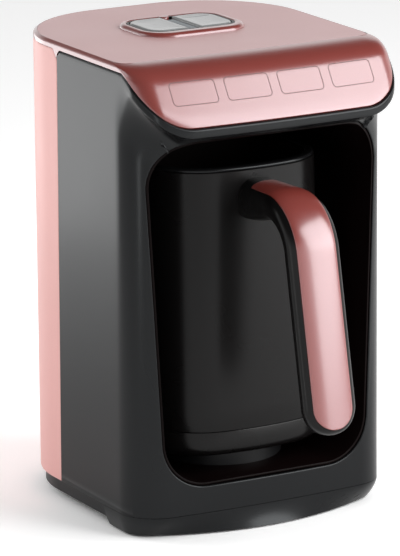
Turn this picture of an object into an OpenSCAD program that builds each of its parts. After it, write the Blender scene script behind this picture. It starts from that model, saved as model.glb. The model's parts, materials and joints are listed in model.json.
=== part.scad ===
// Electric Turkish coffee maker: a D-shaped machine with a black niche for one pot, a sloping
// metallic nose over the niche, two keys on top, and a pot whose open handle faces forward.
// Millimetres, +Z up, front towards -Y. Inside the modules the machine's own axis is X = 0, Y = 0,
// and at_origin() moves the finished parts so that the origin is the centre of the whole footprint.

/* [Body] */
// Width of the machine
body_w = 156; // [148:1:168]
// Front of the machine, measured forward from its axis
front_reach = 80; // [77:1:84]
// Back of the machine, measured backward from its axis
back_reach = 81; // [77:1:92]
// Height of the top plate above the table
body_h = 255.5; // [252:0.5:265]
// Height of the casing's lower edge above the table
skirt_z = 12.5; // [11:0.5:14]
// Wall of the casing shells
wall = 2.5; // [2:0.1:3]
// Radius of the two upright rear corners
rear_r = 60; // [50:1:65]
// Radius of the two upright front corners
front_r = 22; // [18:1:24]
// How far the middle of the front stands ahead of its corners
front_bow = 2.5; // [1:0.25:4]
// Joint between the front housing and the rear shell, behind the axis, at its foot
seam_y = 11; // [8:0.5:14]
// How much further forward that joint lies at its top
seam_lean = 3; // [0:0.5:5]
// Gap left at the joints between casing parts
joint_gap = 0.15; // [0.1:0.05:0.25]

/* [Nose] */
// Height of the cover's visible rim along the sides and the back
rim_h = 3.6; // [3:0.2:5]
// Line where the flat top turns into the nose, measured forward from the axis
ridge_y = 60; // [57:0.5:63]
// Top edge of the sloping panel, measured forward from the axis
panel_y = 84; // [81:0.5:87]
// Drop of the panel's top edge below the flat top
panel_drop = 8.5; // [7:0.5:10]
// Forward run of the panel for each millimetre of drop
panel_run = 0.64; // [0.55:0.01:0.75]
// Height of the whole nose cover at its middle
nose_h = 30; // [28:0.5:32]
// Corner radius of the nose seen from above
nose_r = 12; // [9:0.5:15]
// Height of the black lip under the cover
lip_h = 5; // [4:0.5:6]
// How far the lip stands proud of the cover
lip_proud = 0.7; // [0.4:0.1:1.2]
// How far the cover's lower edge rolls in under the panel
curl_in = 1.2; // [0.6:0.1:1.4]
// Height over which it rolls in
curl_h = 7; // [5:0.5:9]
// Radius of the housing's upper rear corners, where the cover comes down in a tab
tab_r = 6; // [4:0.5:8]
// How far that tab reaches behind the joint
tab_back = 5; // [3:0.5:8]
// Height of the hollow sweep between the front and the lip
sweep_h = 28; // [24:1:32]

/* [Niche] */
// Width of the niche opening at its foot
niche_w_low = 122; // [118:1:126]
// Width of the niche opening at its head
niche_w_high = 135; // [130:1:138]
// Height of the opening's lower edge
niche_z = 29; // [28:0.5:31]
// Drop of the opening's upper edge below the top plate
niche_drop = 40.5; // [39:0.5:44]
// Corner radius of the opening
niche_r = 24; // [20:1:26]
// Wall of the niche liner
liner_t = 1.6; // [1.2:0.1:2]
// Rear wall of the niche, measured backward from the axis
niche_back = 34; // [31:1:38]
// Set-back of the liner's front edge behind the housing's face
liner_setback = 1; // [0.6:0.1:1.5]

/* [Pot] */
// Width of the pot at its foot
pot_w = 105; // [100:1:108]
// Depth of the pot at its foot
pot_d = 94; // [90:1:97]
// How much narrower and shallower the pot's mouth is
pot_taper = 5; // [3:0.5:7]
// Space left between the pot's rim and the niche's ceiling
pot_clear = 19.8; // [17:0.1:24]
// Corner radius of the pot
pot_r = 34; // [30:1:36]
// Radius of the gentle bow of the pot's faces
pot_face_r = 138; // [120:1:180]
// Middle of the pot, measured forward from the axis
pot_y = 24.5; // [23:0.5:26]
// Wall of the pot's plastic shell
pot_wall = 2; // [1.6:0.1:2.4]
// Air gap between the shell and the steel cup
pot_gap = 2.8; // [2.6:0.1:3.2]
// Wall of the steel cup
cup_t = 0.8; // [0.6:0.1:1.2]
// Inner edge rounding at the bottom of the cup
cup_round = 8; // [6:0.5:10]
// Height of the ring under the pot's shell
ring_h = 14.3; // [12:0.5:17]
// Radius of the pot's steel sole
sole_r = 33; // [30:1:34]
// Thickness of that sole
sole_t = 1.5; // [1.2:0.1:2]

/* [Handle] */
// Width of the handle's grip
handle_w = 30.5; // [28:0.5:32]
// Width of the handle's root, where it meets the pot
root_w = 24; // [22:0.5:28]
// Thickness of the handle's grip
grip_t = 12; // [10:0.5:14]
// Height of the handle's root
root_t = 22; // [19:0.5:24]
// Drop of the handle's top below the pot's rim
handle_drop = 6.5; // [5:0.5:9]
// Straight top of the handle, from the pot to the bend
handle_run = 29; // [26:0.5:32]
// Outer radius of the bend
bend_r = 34; // [30:1:38]
// Angle that the handle turns through
bend_angle = 78.5; // [75:0.5:82]
// Length of the straight grip below the bend
grip_l = 96; // [88:1:98]
// Width of the metallic insert on the grip
insert_w = 23.5; // [20:0.5:26]
// Thickness of that insert
insert_t = 1.5; // [1.2:0.1:2]

/* [Keys] */
// Width of one key
key_w = 22.2; // [20:0.2:24]
// Depth of one key
key_d = 33.5; // [30:0.5:36]
// Thickness of a key's cap
key_h = 3.4; // [3:0.1:3.6]
// Gap between the two keys
key_gap = 6.8; // [6:0.2:8]
// Middle of the keys, measured backward from the axis
keys_y = 13.7; // [12:0.1:16]
// How far the keys stand above the top plate
key_rise = 2.4; // [2.2:0.1:3]
// Travel of a key
key_travel = 1; // [0.6:0.1:1.2]
// Clearance round a key
key_clear = 0.3; // [0.25:0.05:0.5]
// Corner radius of the key cluster
key_r = 9; // [7:0.5:11]
// Thickness of the flat top plate
plate_t = 1.6; // [1.4:0.1:1.8]
// Width of the bezel's front margin; its other margins follow
bezel_front = 7.3; // [6:0.1:8]

/* [Hotplate] */
// Radius of the hotplate
hot_r = 34; // [31:1:35]
// Gap between the hotplate and the pot's sole
hot_gap = 0.2; // [0.1:0.05:0.3]
// Height of the hotplate above the niche floor
hot_rise = 9; // [8:0.5:10]
// Radius of the ring that the heating element follows
element_r = 25; // [22:0.5:27]
// Radius of the element's tube
element_tube_r = 3.2; // [2.5:0.1:3.5]

/* [Base and fasteners] */
// Radius of a rubber foot
foot_r = 8.5; // [7:0.5:9.5]
// Height of the front skirt's foot above the table
base_z = 1; // [0.8:0.1:1.5]
// Radius of the screws' shanks
screw_r = 1.5; // [1.3:0.1:1.8]
// Radial clearance round a screw's shank
screw_clear = 0.1; // [0.05:0.05:0.15]
// Radius of the cord bore in the gland
cord_r = 3.4; // [3:0.1:4]

/* [Hidden] */
$fn = 48;

half_w = body_w / 2;
rim_z = body_h - rim_h;
panel_z = body_h - panel_drop;
nose_z = body_h - nose_h;
niche_top = body_h - niche_drop;
rear_mid_x = half_w - rear_r;
rear_mid_y = back_reach - rear_r;
plate_bed = body_h - plate_t;
cap_t = 1.7;
cap_z = plate_bed - cap_t;

function lerp(a, b, t) = a + (b - a) * t;
function steps(from, to, count) = [for (i = [0:count - 1]) lerp(from, to, i / count)];
function reversed(a) = [for (i = [len(a) - 1:-1:0]) a[i]];
function tail(a, from) = [for (i = [from:len(a) - 1]) a[i]];
function lift(p, z) = [p[0], p[1], z];
module at_origin() { translate([0, frame_y, 0]) children(); }
module both_sides() { for (side = [0, 1]) mirror([side, 0, 0]) children(); }

// Closes a row of rings, each with the same number of points, into one solid.
module skin(rings) {
    n = len(rings[0]);
    last = len(rings) - 1;
    sides = [for (k = [0:last - 1], i = [0:n - 1])
        let (a = k * n + i, b = k * n + (i + 1) % n) each [[a, a + n, b + n], [a, b + n, b]]];
    ends = [[for (i = [0:n - 1]) i], [for (i = [n - 1:-1:0]) last * n + i]];
    polyhedron(points = [for (ring = rings) each ring], faces = concat(sides, ends), convexity = 8);
}

// ---- Plan of the casing ----
// A station is [stretch, t]: 0 left side, 1 left front corner, 2 front, 3 right front corner,
// 4 right side, 5 right rear corner, 6 left rear corner. Sides start or end at back_at.
function plan_at(s, half, front, r, bow, back_at) =
    let (tilt = atan(2 * bow / (half - r)), x_end = half - r + r * sin(tilt),
         y_mid = front + bow + r * cos(tilt), t = s[1], rear = rear_r - half_w + half)
    s[0] == 0 ? [-half, lerp(back_at, y_mid, t)] :
    s[0] == 1 ? let (a = (90 - tilt) * t) [r - half - r * cos(a), y_mid - r * sin(a)] :
    s[0] == 2 ? let (x = lerp(-x_end, x_end, t)) [x, front + bow * pow(x / x_end, 2)] :
    s[0] == 3 ? let (a = (90 - tilt) * (1 - t)) [half - r + r * cos(a), y_mid - r * sin(a)] :
    s[0] == 4 ? [half, lerp(y_mid, back_at, t)] :
    s[0] == 5 ? [rear_mid_x + rear * cos(90 * t), rear_mid_y + rear * sin(90 * t)] :
                [-rear_mid_x - rear * sin(90 * t), rear_mid_y + rear * cos(90 * t)];

front_stations = concat([[0, 0]], [for (t = steps(0, 1, 8)) [1, t]], [for (t = steps(0, 1, 14)) [2, t]],
                        [for (t = steps(0, 1, 8)) [3, t]], [[4, 0], [4, 1]]);
all_stations = concat(front_stations, tail([for (t = steps(0, 1, 14)) [5, t]], 1), [[5, 1]],
                      [for (t = steps(0, 1, 14)) [6, t]]);

module casing_outline(inset) {
    half = half_w - inset;
    polygon([for (s = front_stations) plan_at(s, half, inset - front_reach, front_r - inset, front_bow, 1)]);
    translate([-half, 0]) square([2 * half, rear_mid_y]);
    both_sides() translate([rear_mid_x, rear_mid_y]) circle(rear_r - inset, $fn = 96);
    translate([-rear_mid_x, 0]) square([2 * rear_mid_x, back_reach - inset]);
}

// ---- The nose: a rounded ridge, then a straight sloping panel ----
function ridge_front(z) =
    let (t = sqrt(max(0, (body_h - z) / panel_drop)), knee = panel_y - panel_drop * panel_run)
    -(pow(1 - t, 2) * ridge_y + 2 * t * (1 - t) * knee + t * t * panel_y);
function nose_front(z) = z < panel_z ? -panel_y - (panel_z - z) * panel_run : ridge_front(z);

// Lower edge of the cover: level in front, swung up round the corners to the rim's height.
nose_swing = rim_z - nose_z;
function edge_z(s) =
    let (x = abs(plan_at(s, half_w, -ridge_y, nose_r, front_bow, 0)[0]) - half_w + nose_swing)
    (s[0] == 0 || s[0] > 3) ? rim_z :
    x <= 0 ? nose_z : rim_z - sqrt(max(0, pow(nose_swing, 2) - x * x));

// A point at height z, set back by inset from the face of the sloping nose and from the sides.
panel_slope = sqrt(1 + panel_run * panel_run);
function behind_nose(s, z, inset, back_at) =
    lift(plan_at(s, half_w - inset, nose_front(z) + panel_slope * inset, nose_r - inset, front_bow, back_at), z);

// Distance of a station from the casing's side.
function side_distance(s) =
    s[0] == 0 || s[0] > 3 ? 0 : half_w - abs(plan_at(s, half_w, -ridge_y, nose_r, front_bow, 0)[0]);
edge_round = 2;
function cover_ring(f) =
    [for (s = all_stations)
        let (z = lerp(body_h, edge_z(s), f),
             soft = edge_round * pow(max(0, 1 - (body_h - z) / edge_round), 2),
             near = min(1, (z - edge_z(s)) / curl_h),
             curl = curl_in * min(1, side_distance(s) / nose_r) * (1 - sqrt(1 - pow(1 - near, 2))))
        behind_nose(s, z, soft + curl, rear_mid_y)];
function cover_inner_ring(f) = [for (s = all_stations) behind_nose(s, lerp(edge_z(s), cap_z, f), wall, rear_mid_y)];

// The tab, seen from the side: behind the housing's round corner, ahead of the rear shell's cut one.
tab_bite = 0.5;
module tab_shape(gap) {
    low = rim_z - joint_gap - tab_r + tab_bite;
    seam = seam_at(low);
    mid = seam - tab_r + tab_bite;
    back = seam + joint_gap - gap;
    difference() {
        polygon([[mid, low], [back, low], [back + tab_back, rim_z + 0.2], [mid, rim_z + 0.2]]);
        translate([mid, low]) polygon([for (a = [7:14:353]) (tab_r + gap) * [cos(a), sin(a)]]);
    }
}
module tabs(gap, deep, over) {
    both_sides() translate([half_w - deep, 0, 0]) rotate([90, 0, 90]) linear_extrude(deep + over) tab_shape(gap);
}

// ---- The front housing's wall: one closed upright loop for each station ----
// The loops run past the joint with the rear shell, where the housing is then cut.
past_seam = seam_y + 3;
function seam_at(z) = seam_y - seam_lean * (z - skirt_z) / (body_h - skirt_z);
sweep_steps = [0, 0.3, 0.5, 0.68, 0.82, 0.92, 0.98, 1];
// The lip stands out from the cover, but no further than the casing's side.
function lip_out(s) =
    let (room = side_distance(s))
    room <= 0 ? 0 : room >= nose_r ? lip_proud : min(lip_proud, room * nose_r / (nose_r - room));
function housing_point(s, z, t, inset) =
    let (bulge = 1 - sqrt(1 - t * t), out = lip_out(s), lip_front = nose_front(edge_z(s)) - panel_slope * out)
    lift(plan_at(s, half_w - inset + out * bulge, lerp(-front_reach, lip_front, bulge) + inset,
                 lerp(front_r, nose_r + out, bulge) - inset, front_bow, past_seam), z);
function housing_side(s, inset) =
    let (top = edge_z(s), lip_z = top - lip_h + inset, foot = top - lip_h - sweep_h,
         last = behind_nose(s, top, inset > 0 ? inset : -lip_out(s), past_seam))
    concat([housing_point(s, skirt_z, 0, inset)],
           [for (t = sweep_steps) housing_point(s, lerp(foot, lip_z, t), t, inset)],
           [lift(last, top - joint_gap)]);

// A solid that fills the front of the casing behind its face, used to trim the liner's mouth.
module front_filling(inset) {
    columns = [for (s = front_stations) housing_side(s, inset)];
    rows = [for (k = [0:len(sweep_steps)]) [for (c = columns) c[k]]];
    skin(concat(rows, [[for (c = columns) lift(c[len(c) - 1], body_h)]]));
}

// ---- Openings ----
module niche_outline(grow) {
    hull() both_sides() {
        translate([niche_w_low / 2 - niche_r, niche_z + niche_r]) circle(niche_r + grow, $fn = 72);
        translate([niche_w_high / 2 - niche_r, niche_top - niche_r]) circle(niche_r + grow, $fn = 72);
    }
}
module niche_bore(grow, from, to) {
    translate([0, to, 0]) rotate([90, 0, 0]) linear_extrude(to - from) niche_outline(grow);
}
module rounded(w, d, r) {
    for (sx = [-1, 1], sy = [-1, 1]) translate([sx * (w / 2 - r), sy * (d / 2 - r)]) circle(r);
    square([w - 2 * r, d], center = true);
    square([w, d - 2 * r], center = true);
}
// Everything behind the leaning joint between front housing and rear shell.
module behind_seam(gap) {
    far = back_reach + 20;
    rotate([90, 0, 90]) translate([0, 0, -body_w]) linear_extrude(2 * body_w)
        polygon([[seam_at(0) + gap, 0], [far, 0], [far, body_h], [seam_at(body_h) + gap, body_h]]);
}

// ---- Screw bosses of the two shells, inside the walls of the base tray ----
floor_z = 5;
floor_t = 2.5;
tray_t = 2.5;
tray_top = skirt_z + 4;
boss_r = 5;
boss_h = 30;
boss_bore = 24;
boss_side = wall + joint_gap + tray_t + 0.35 + boss_r;
side_boss = [half_w - boss_side, -16];
rear_boss_a = 62;
rear_boss = [rear_mid_x + (rear_r - boss_side) * cos(rear_boss_a),
             rear_mid_y + (rear_r - boss_side) * sin(rear_boss_a)];
module boss() {
    difference() {
        union() {
            translate([0, 0, floor_z + floor_t]) cylinder(r = boss_r, h = boss_h);
            translate([0, -1.5, tray_top + 0.5])
                cube([boss_side - wall + 0.5, 3, boss_h + floor_z + floor_t - tray_top - 0.5]);
        }
        cylinder(r = screw_r + screw_clear, h = boss_bore);
    }
}
module at_side_bosses() { both_sides() translate([side_boss[0], side_boss[1], 0]) children(); }
module at_rear_bosses() {
    both_sides() translate([rear_boss[0], rear_boss[1], 0]) rotate(rear_boss_a) children();
}

// ======== Casing ========
module front_housing() at_origin() color([0.05, 0.05, 0.06]) {
    difference() {
        skin([for (s = front_stations) concat(housing_side(s, wall), reversed(housing_side(s, 0)))]);
        niche_bore(liner_t + joint_gap, -front_reach - 40, -front_reach / 2);
        behind_seam(0);
        tabs(0, wall + 1, 1);
    }
    at_side_bosses() boss();
}

lap = 8;
lap_t = 1.6;
module rear_shell() at_origin() color([0.93, 0.74, 0.70]) {
    difference() {
        intersection() {
            translate([0, 0, skirt_z]) linear_extrude(rim_z - skirt_z - joint_gap) difference() {
                casing_outline(0);
                casing_outline(wall);
            }
            behind_seam(joint_gap);
        }
        gland_bore(gland_neck_r + 0.1);
        tabs(0, wall + 1, 1);
    }
    // Tongues that lap behind the front housing's wall at the joint.
    both_sides() translate([half_w - wall - joint_gap - lap_t, seam_y - seam_lean - lap, tray_top + 2]) {
        cube([lap_t, 2 * lap + seam_lean, rim_z - tray_top - 16]);
        translate([0, lap + seam_lean + 1, 0]) cube([lap_t + 0.3, lap - 1, rim_z - tray_top - 16]);
    }
    at_rear_bosses() boss();
}

plate_edge = 2.2;
plate_corner = 6;
plate_bow = 1.3;
cover_steps = [1, 0.97, 0.9, 0.75, 0.6, 0.45, 0.35, 0.27, 0.2, 0.13, 0.07, 0.03, 0.01, 0];
module plate_outline(gap) {
    polygon([for (s = all_stations)
        plan_at(s, half_w - plate_edge - gap, gap - ridge_y, plate_corner - gap, plate_bow, rear_mid_y)]);
}
module top_cover() at_origin() color([0.80, 0.52, 0.48]) {
    inner = [for (f = [1, 0.75, 0.5, 0.25, 0]) cover_inner_ring(f)];
    difference() {
        skin(concat(inner, [for (f = cover_steps) cover_ring(f)]));
        translate([0, 0, plate_bed]) linear_extrude(plate_t + 1) plate_outline(0);
        cluster(tub_wall + key_clear, cap_z - 1, 10);
    }
    tabs(joint_gap, wall, 0);
    // Posts that carry the control board, with pilot holes for its screws.
    at_board_corners() difference() {
        translate([0, 0, board_z + board_t]) cylinder(r = 3, h = cap_z - board_z - board_t + 0.2);
        translate([0, 0, board_z]) cylinder(r = board_screw_r + screw_clear, h = 8);
    }
    // Ribs that locate the cover inside the rear shell.
    translate([0, 0, rim_z - 6]) linear_extrude(cap_z - rim_z + 6.2) intersection() {
        difference() {
            casing_outline(wall + joint_gap);
            casing_outline(wall + 2);
        }
        translate([-half_w, rear_mid_y]) square([body_w, back_reach]);
    }
}
module top_plate() at_origin() color([0.84, 0.72, 0.71])
    difference() {
        translate([0, 0, plate_bed]) linear_extrude(plate_t) plate_outline(joint_gap);
        cluster(tub_wall + key_clear, plate_bed - 1, plate_t + 2);
    }

// ======== Niche ========
lens_y = -55;
lens_r = 4.5;
power_w = 78;
power_l = 64;
power_z = 96;
power_off = 5;
board_edge = 5;
transformer = [26, 20, 24];
relay = [20, 15, 16];
capacitor_r = 6;
capacitor_l = 18;
terminal_strip = [32, 12, 9];
module at_power_posts() {
    for (x = [-1, 1], z = [6, power_l - 6])
        translate([x * (power_w / 2 - 6), niche_back, power_z + z]) rotate([-90, 0, 0]) children();
}
module niche_liner() at_origin() color([0.06, 0.06, 0.06]) {
    difference() {
        intersection() {
            niche_bore(liner_t, -front_reach - 30, niche_back);
            union() {
                front_filling(liner_setback);
                translate([-half_w, 0, 0]) cube([body_w, back_reach, body_h]);
            }
        }
        niche_bore(0, -front_reach - 40, niche_back - liner_t);
        translate([0, -pot_y, 0]) cylinder(r = hot_r + 0.3, h = niche_z + 10);
        translate([0, lens_y, niche_top - 5]) cylinder(r = lens_r + 0.1, h = 15);
    }
    // Posts for the power board, with pilot holes for its screws.
    at_power_posts() difference() {
        translate([0, 0, -0.1]) cylinder(r = 3, h = power_off + 0.1);
        translate([0, 0, 0.5]) cylinder(r = board_screw_r + screw_clear, h = power_off);
    }
}
module sensor_lens() at_origin() color([0.25, 0.05, 0.06]) {
    translate([0, lens_y, niche_top - 0.3]) cylinder(r = lens_r, h = liner_t + 0.4);
    translate([0, lens_y, niche_top + liner_t]) cylinder(r = lens_r + 1.5, h = 3);
}

// ======== Keys ========
tub_wall = 1.4;
tub_floor_t = 1.9;
tub_floor = cap_z - joint_gap;
key_top = body_h + key_rise;
key_x = (key_gap + key_w) / 2;
cluster_w = 2 * key_w + key_gap + 2 * key_clear;
cluster_d = key_d + 2 * key_clear;
stem_r = 2.5;
stem_pitch = 20;
collar_t = 0.8;
switch_h = 3.5;
board_w = 84;
board_d = 48;
board_t = 1.6;
board_z = cap_z - 12.2;
board_screw_r = 1.1;
stem_end = board_z + board_t + switch_h + key_travel + 0.3;
notch_r = 2.8;

module cluster(grow, z, h) {
    translate([0, keys_y, z]) linear_extrude(h)
        rounded(cluster_w + 2 * grow, cluster_d + 2 * grow, key_r + grow);
}
module at_stems() { for (y = [-0.5, 0.5]) translate([0, y * stem_pitch, 0]) children(); }
module at_keys() { for (side = [-1, 1]) translate([side * key_x, keys_y, 0]) at_stems() children(); }
module at_board_corners() {
    for (x = [-1, 1], y = [-1, 1])
        translate([x * (board_w / 2 - 5), keys_y + y * (board_d / 2 - 5), 0]) children();
}
module notch(grow) {
    translate([0, keys_y + cluster_d / 2 + tub_wall, body_h - 4]) cylinder(r = notch_r + grow, h = 12);
}
module button_bezel() at_origin() color([0.83, 0.55, 0.50]) {
    margin = bezel_front - 3;
    w = cluster_w + 2 * tub_wall + 2 * margin;
    d = cluster_d + 2 * tub_wall + bezel_front + margin;
    difference() {
        hull() translate([0, keys_y - (bezel_front - margin) / 2, body_h]) {
            linear_extrude(0.6) rounded(w, d, key_r + 7, $fn = 32);
            linear_extrude(key_rise - 0.2) rounded(w - 5, d - 5, key_r + 4.5, $fn = 32);
        }
        difference() {
            cluster(tub_wall + joint_gap, body_h - 1, 10);
            notch(-joint_gap);
        }
    }
}
module button_frame() at_origin() color([0.03, 0.03, 0.03])
    difference() {
        union() {
            cluster(tub_wall, tub_floor - tub_floor_t, key_top - 0.4 - tub_floor + tub_floor_t);
            cluster(tub_wall + 2.5, tub_floor - tub_floor_t, tub_floor_t);
        }
        difference() {
            cluster(0, tub_floor, 20);
            translate([0, 0, -20]) notch(tub_wall);
        }
        notch(0);
        at_keys() translate([0, 0, tub_floor - 5]) cylinder(r = stem_r + 0.1, h = 10);
    }
module key_divider() at_origin() color([0.36, 0.39, 0.41])
    translate([key_clear - key_gap / 2, keys_y - cluster_d / 2 + 0.2, tub_floor])
        cube([key_gap - 2 * key_clear, cluster_d - 4.6, key_top - 0.9 - tub_floor]);

// A cap with its two outer corners rounded, on two stems that snap through the frame's floor.
module key(side) {
    under = key_top - key_h;
    translate([0, 0, under]) linear_extrude(key_h) intersection() {
        translate([-side * key_x, 0]) rounded(2 * key_w + key_gap, key_d, key_r);
        square([key_w, key_d + 1], center = true);
    }
    at_stems() {
        translate([0, 0, stem_end]) cylinder(r = stem_r, h = under - stem_end + 0.2);
        translate([0, 0, tub_floor - tub_floor_t - 0.4 - collar_t]) cylinder(r = stem_r + 0.7, h = collar_t);
    }
}
module left_key() at_origin() color([0.77, 0.79, 0.79]) translate([-key_x, keys_y, 0]) key(-1);
module right_key() at_origin() color([0.77, 0.79, 0.79]) translate([key_x, keys_y, 0]) difference() {
    key(1);
    // Sunk line that sets off the strip along the back of this key.
    translate([-key_w / 2 + 2, key_d / 2 - 8, key_top - 0.4]) cube([key_w - 6, 0.9, 1]);
}
// Wave springs, at their pressed height.
module key_springs() at_origin() color([0.7, 0.7, 0.72])
    at_keys() translate([0, 0, tub_floor]) difference() {
        h = key_top - key_h - key_travel - tub_floor - 0.05;
        cylinder(r = stem_r + 1.3, h = h);
        translate([0, 0, -1]) cylinder(r = stem_r + 0.4, h = h + 2);
    }
module control_board() at_origin() {
    color([0.08, 0.30, 0.14]) difference() {
        translate([-board_w / 2, keys_y - board_d / 2, board_z]) cube([board_w, board_d, board_t]);
        at_board_corners() translate([0, 0, board_z - 1]) cylinder(r = board_screw_r + 0.2, h = 5);
    }
    // A push switch under each stem, a buzzer and a connector.
    color([0.1, 0.1, 0.1]) {
        at_keys() translate([-3, -3, board_z + board_t]) cube([6, 6, switch_h]);
        translate([0, keys_y, board_z - 5]) cylinder(r = 6, h = 5);
        translate([18, keys_y - 8, board_z - 7]) cube([8, 16, 7]);
    }
}
module board_screw(grip) {
    translate([0, 0, -1.6]) cylinder(r = 2, h = 1.6);
    cylinder(r = board_screw_r, h = grip);
}
module board_screws() at_origin() color([0.75, 0.75, 0.77]) {
    at_board_corners() translate([0, 0, board_z]) board_screw(board_t + 5);
    at_power_posts() translate([0, 0, power_off + board_t]) mirror([0, 0, 1]) board_screw(board_t + 4);
}

// ======== Heating ========
hot_under = niche_z - liner_t;
hot_flange_t = 3;
element_open = 60;
terminal_r = 1.6;
terminal_l = 8;
cutout_r = 12;
cutout_t = 4;
cutout_body_r = 8;
cutout_body_h = 6;
cutout_tab = [2, 6, 4];
pot_z = niche_z + hot_rise + hot_gap;
module at_hot() { translate([0, -pot_y, hot_under - hot_flange_t]) children(); }
module element(grow, open) {
    rotate(90 + open / 2) rotate_extrude(angle = 360 - open, $fn = 64)
        translate([element_r, 0]) circle(element_tube_r + grow, $fn = 32);
}
module hotplate() at_origin() color([0.62, 0.62, 0.63]) at_hot()
    difference() {
        union() {
            cylinder(r = hot_r + 2, h = hot_flange_t);
            cylinder(r = hot_r, h = pot_z - hot_gap - hot_under + hot_flange_t, $fn = 72);
        }
        element(0.15, element_open - 4);
        // Shallow ring turned into the top face.
        translate([0, 0, pot_z - hot_gap - hot_under + hot_flange_t - 0.5]) difference() {
            cylinder(r = hot_r - 6, h = 2);
            translate([0, 0, -1]) cylinder(r = hot_r - 7, h = 4);
        }
    }
module heating_element() at_origin() color([0.35, 0.33, 0.32]) at_hot() {
    element(0, element_open);
    // Terminals at its two ends.
    for (side = [-1, 1]) rotate(90 + side * (element_open / 2 + 3)) translate([element_r, 0, 0])
        mirror([0, 0, 1]) translate([0, 0, 1]) cylinder(r = terminal_r, h = terminal_l);
}
module thermal_cutout() at_origin() color([0.85, 0.83, 0.78]) at_hot() {
    translate([0, 0, -cutout_t]) cylinder(r = cutout_r, h = cutout_t);
    translate([0, 0, -cutout_t - cutout_body_h]) cylinder(r = cutout_body_r, h = cutout_body_h + 0.1);
    for (side = [-0.5, 0.5])
        translate([side * (cutout_body_r + cutout_tab[0]) - cutout_tab[0] / 2, -cutout_tab[1] / 2,
                   -cutout_t - cutout_body_h - cutout_tab[2]]) cube(cutout_tab + [0, 0, 0.2]);
}
module power_board() at_origin() translate([0, niche_back + power_off, power_z]) {
    color([0.35, 0.25, 0.12]) difference() {
        translate([-power_w / 2, 0, 0]) cube([power_w, board_t, power_l]);
        translate([0, -niche_back - power_off, -power_z]) at_power_posts()
            cylinder(r = board_screw_r + 0.2, h = power_off + 5);
    }
    // Transformer, relay, capacitor and a terminal strip.
    color([0.1, 0.1, 0.1]) translate([0, board_t, 0]) {
        translate([-transformer[0], 0, power_l - transformer[2] - board_edge]) cube(transformer);
        translate([board_edge, 0, power_l - relay[2] - 2 * board_edge]) cube(relay);
        translate([board_edge + relay[0] - capacitor_r, 0, power_l / 3]) rotate([-90, 0, 0])
            cylinder(r = capacitor_r, h = capacitor_l);
        translate([-transformer[0], 0, board_edge]) cube(terminal_strip);
    }
}
gland_z = 34;
gland_neck_r = cord_r + 3;
gland_flange = 2;
module gland_bore(r) {
    translate([0, back_reach - 20, gland_z]) rotate([-90, 0, 0]) cylinder(r = r, h = 40);
}
module cord_gland() at_origin() color([0.07, 0.07, 0.07]) difference() {
    translate([0, back_reach, gland_z]) rotate([-90, 0, 0]) {
        cylinder(r1 = gland_neck_r + 2.6, r2 = gland_neck_r + 1, h = gland_flange);
        translate([0, 0, -wall - 1]) cylinder(r = gland_neck_r, h = wall + 1.1);
        translate([0, 0, -wall - 3]) cylinder(r = gland_neck_r + 2, h = 3);
    }
    gland_bore(cord_r);
}

// ======== Base ========
// The front skirt is undercut: it narrows from the casing's outline to its own foot.
skirt_back = -38;
foot_half = half_w - 3.5;
foot_front = -front_reach - 2.5;
foot_bow = 16;
foot_corner = 15;
function skirt_ring(t) =
    let (u = 1 - pow(1 - t, 1.6), z = lerp(base_z, skirt_z - joint_gap, t))
    [for (s = front_stations)
        lift(plan_at(s, lerp(foot_half, half_w, u), lerp(foot_front, -front_reach, u),
                     lerp(foot_corner, front_r, u), lerp(foot_bow, front_bow, u), skirt_back), z)];
front_foot = [64.5, -52];
rear_foot = [52, 50];
foot_sink = 1.5;
module at_feet(place) { both_sides() translate([place[0], place[1], 0]) children(); }
module vent_slots() {
    for (i = [-4:4]) translate([i * 8 - 1.5, 12, floor_z - 1]) cube([3, 30, floor_t + 2]);
}
module base_plate() at_origin() color([0.06, 0.06, 0.065])
    difference() {
        union() {
            skin([for (t = [0, 0.25, 0.5, 0.75, 1]) skirt_ring(t)]);
            translate([0, 0, skirt_z - 1]) linear_extrude(tray_top - skirt_z + 1)
                casing_outline(wall + joint_gap);
            translate([0, 0, floor_z]) linear_extrude(tray_top - floor_z) intersection() {
                casing_outline(wall + joint_gap);
                translate([-half_w, skirt_back - 2]) square([body_w, body_w + back_reach]);
            }
        }
        translate([0, 0, floor_z + floor_t]) linear_extrude(tray_top)
            casing_outline(wall + joint_gap + tray_t);
        for (place = [side_boss, rear_boss]) at_feet(place) {
            cylinder(r = screw_r + 0.2, h = 30);
            cylinder(r = screw_head_r + 0.2, h = floor_z + screw_head_t);
        }
        at_feet(front_foot) cylinder(r = foot_r + 0.1, h = base_z + foot_sink);
        at_feet(rear_foot) cylinder(r = foot_r + 0.1, h = floor_z + foot_sink);
        vent_slots();
    }
module rubber_feet() at_origin() color([0.04, 0.04, 0.04]) {
    at_feet(front_foot) cylinder(r = foot_r, h = base_z + foot_sink);
    at_feet(rear_foot) cylinder(r = foot_r, h = floor_z + foot_sink);
}
screw_head_r = screw_r + 1.8;
screw_head_t = 1.5;
screw_l = 16;
module base_screws() at_origin() color([0.7, 0.7, 0.72])
    for (place = [side_boss, rear_boss]) at_feet(place) translate([0, 0, floor_z]) {
        cylinder(r = screw_head_r, h = screw_head_t);
        cylinder(r = screw_r, h = screw_l);
    }

// ======== Pot ========
rim_top = niche_top - pot_clear;
pot_h = rim_top - pot_z;
ring_top = pot_z + ring_h;
shell_top = rim_top - 2;
cup_in = pot_wall + pot_gap;

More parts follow.
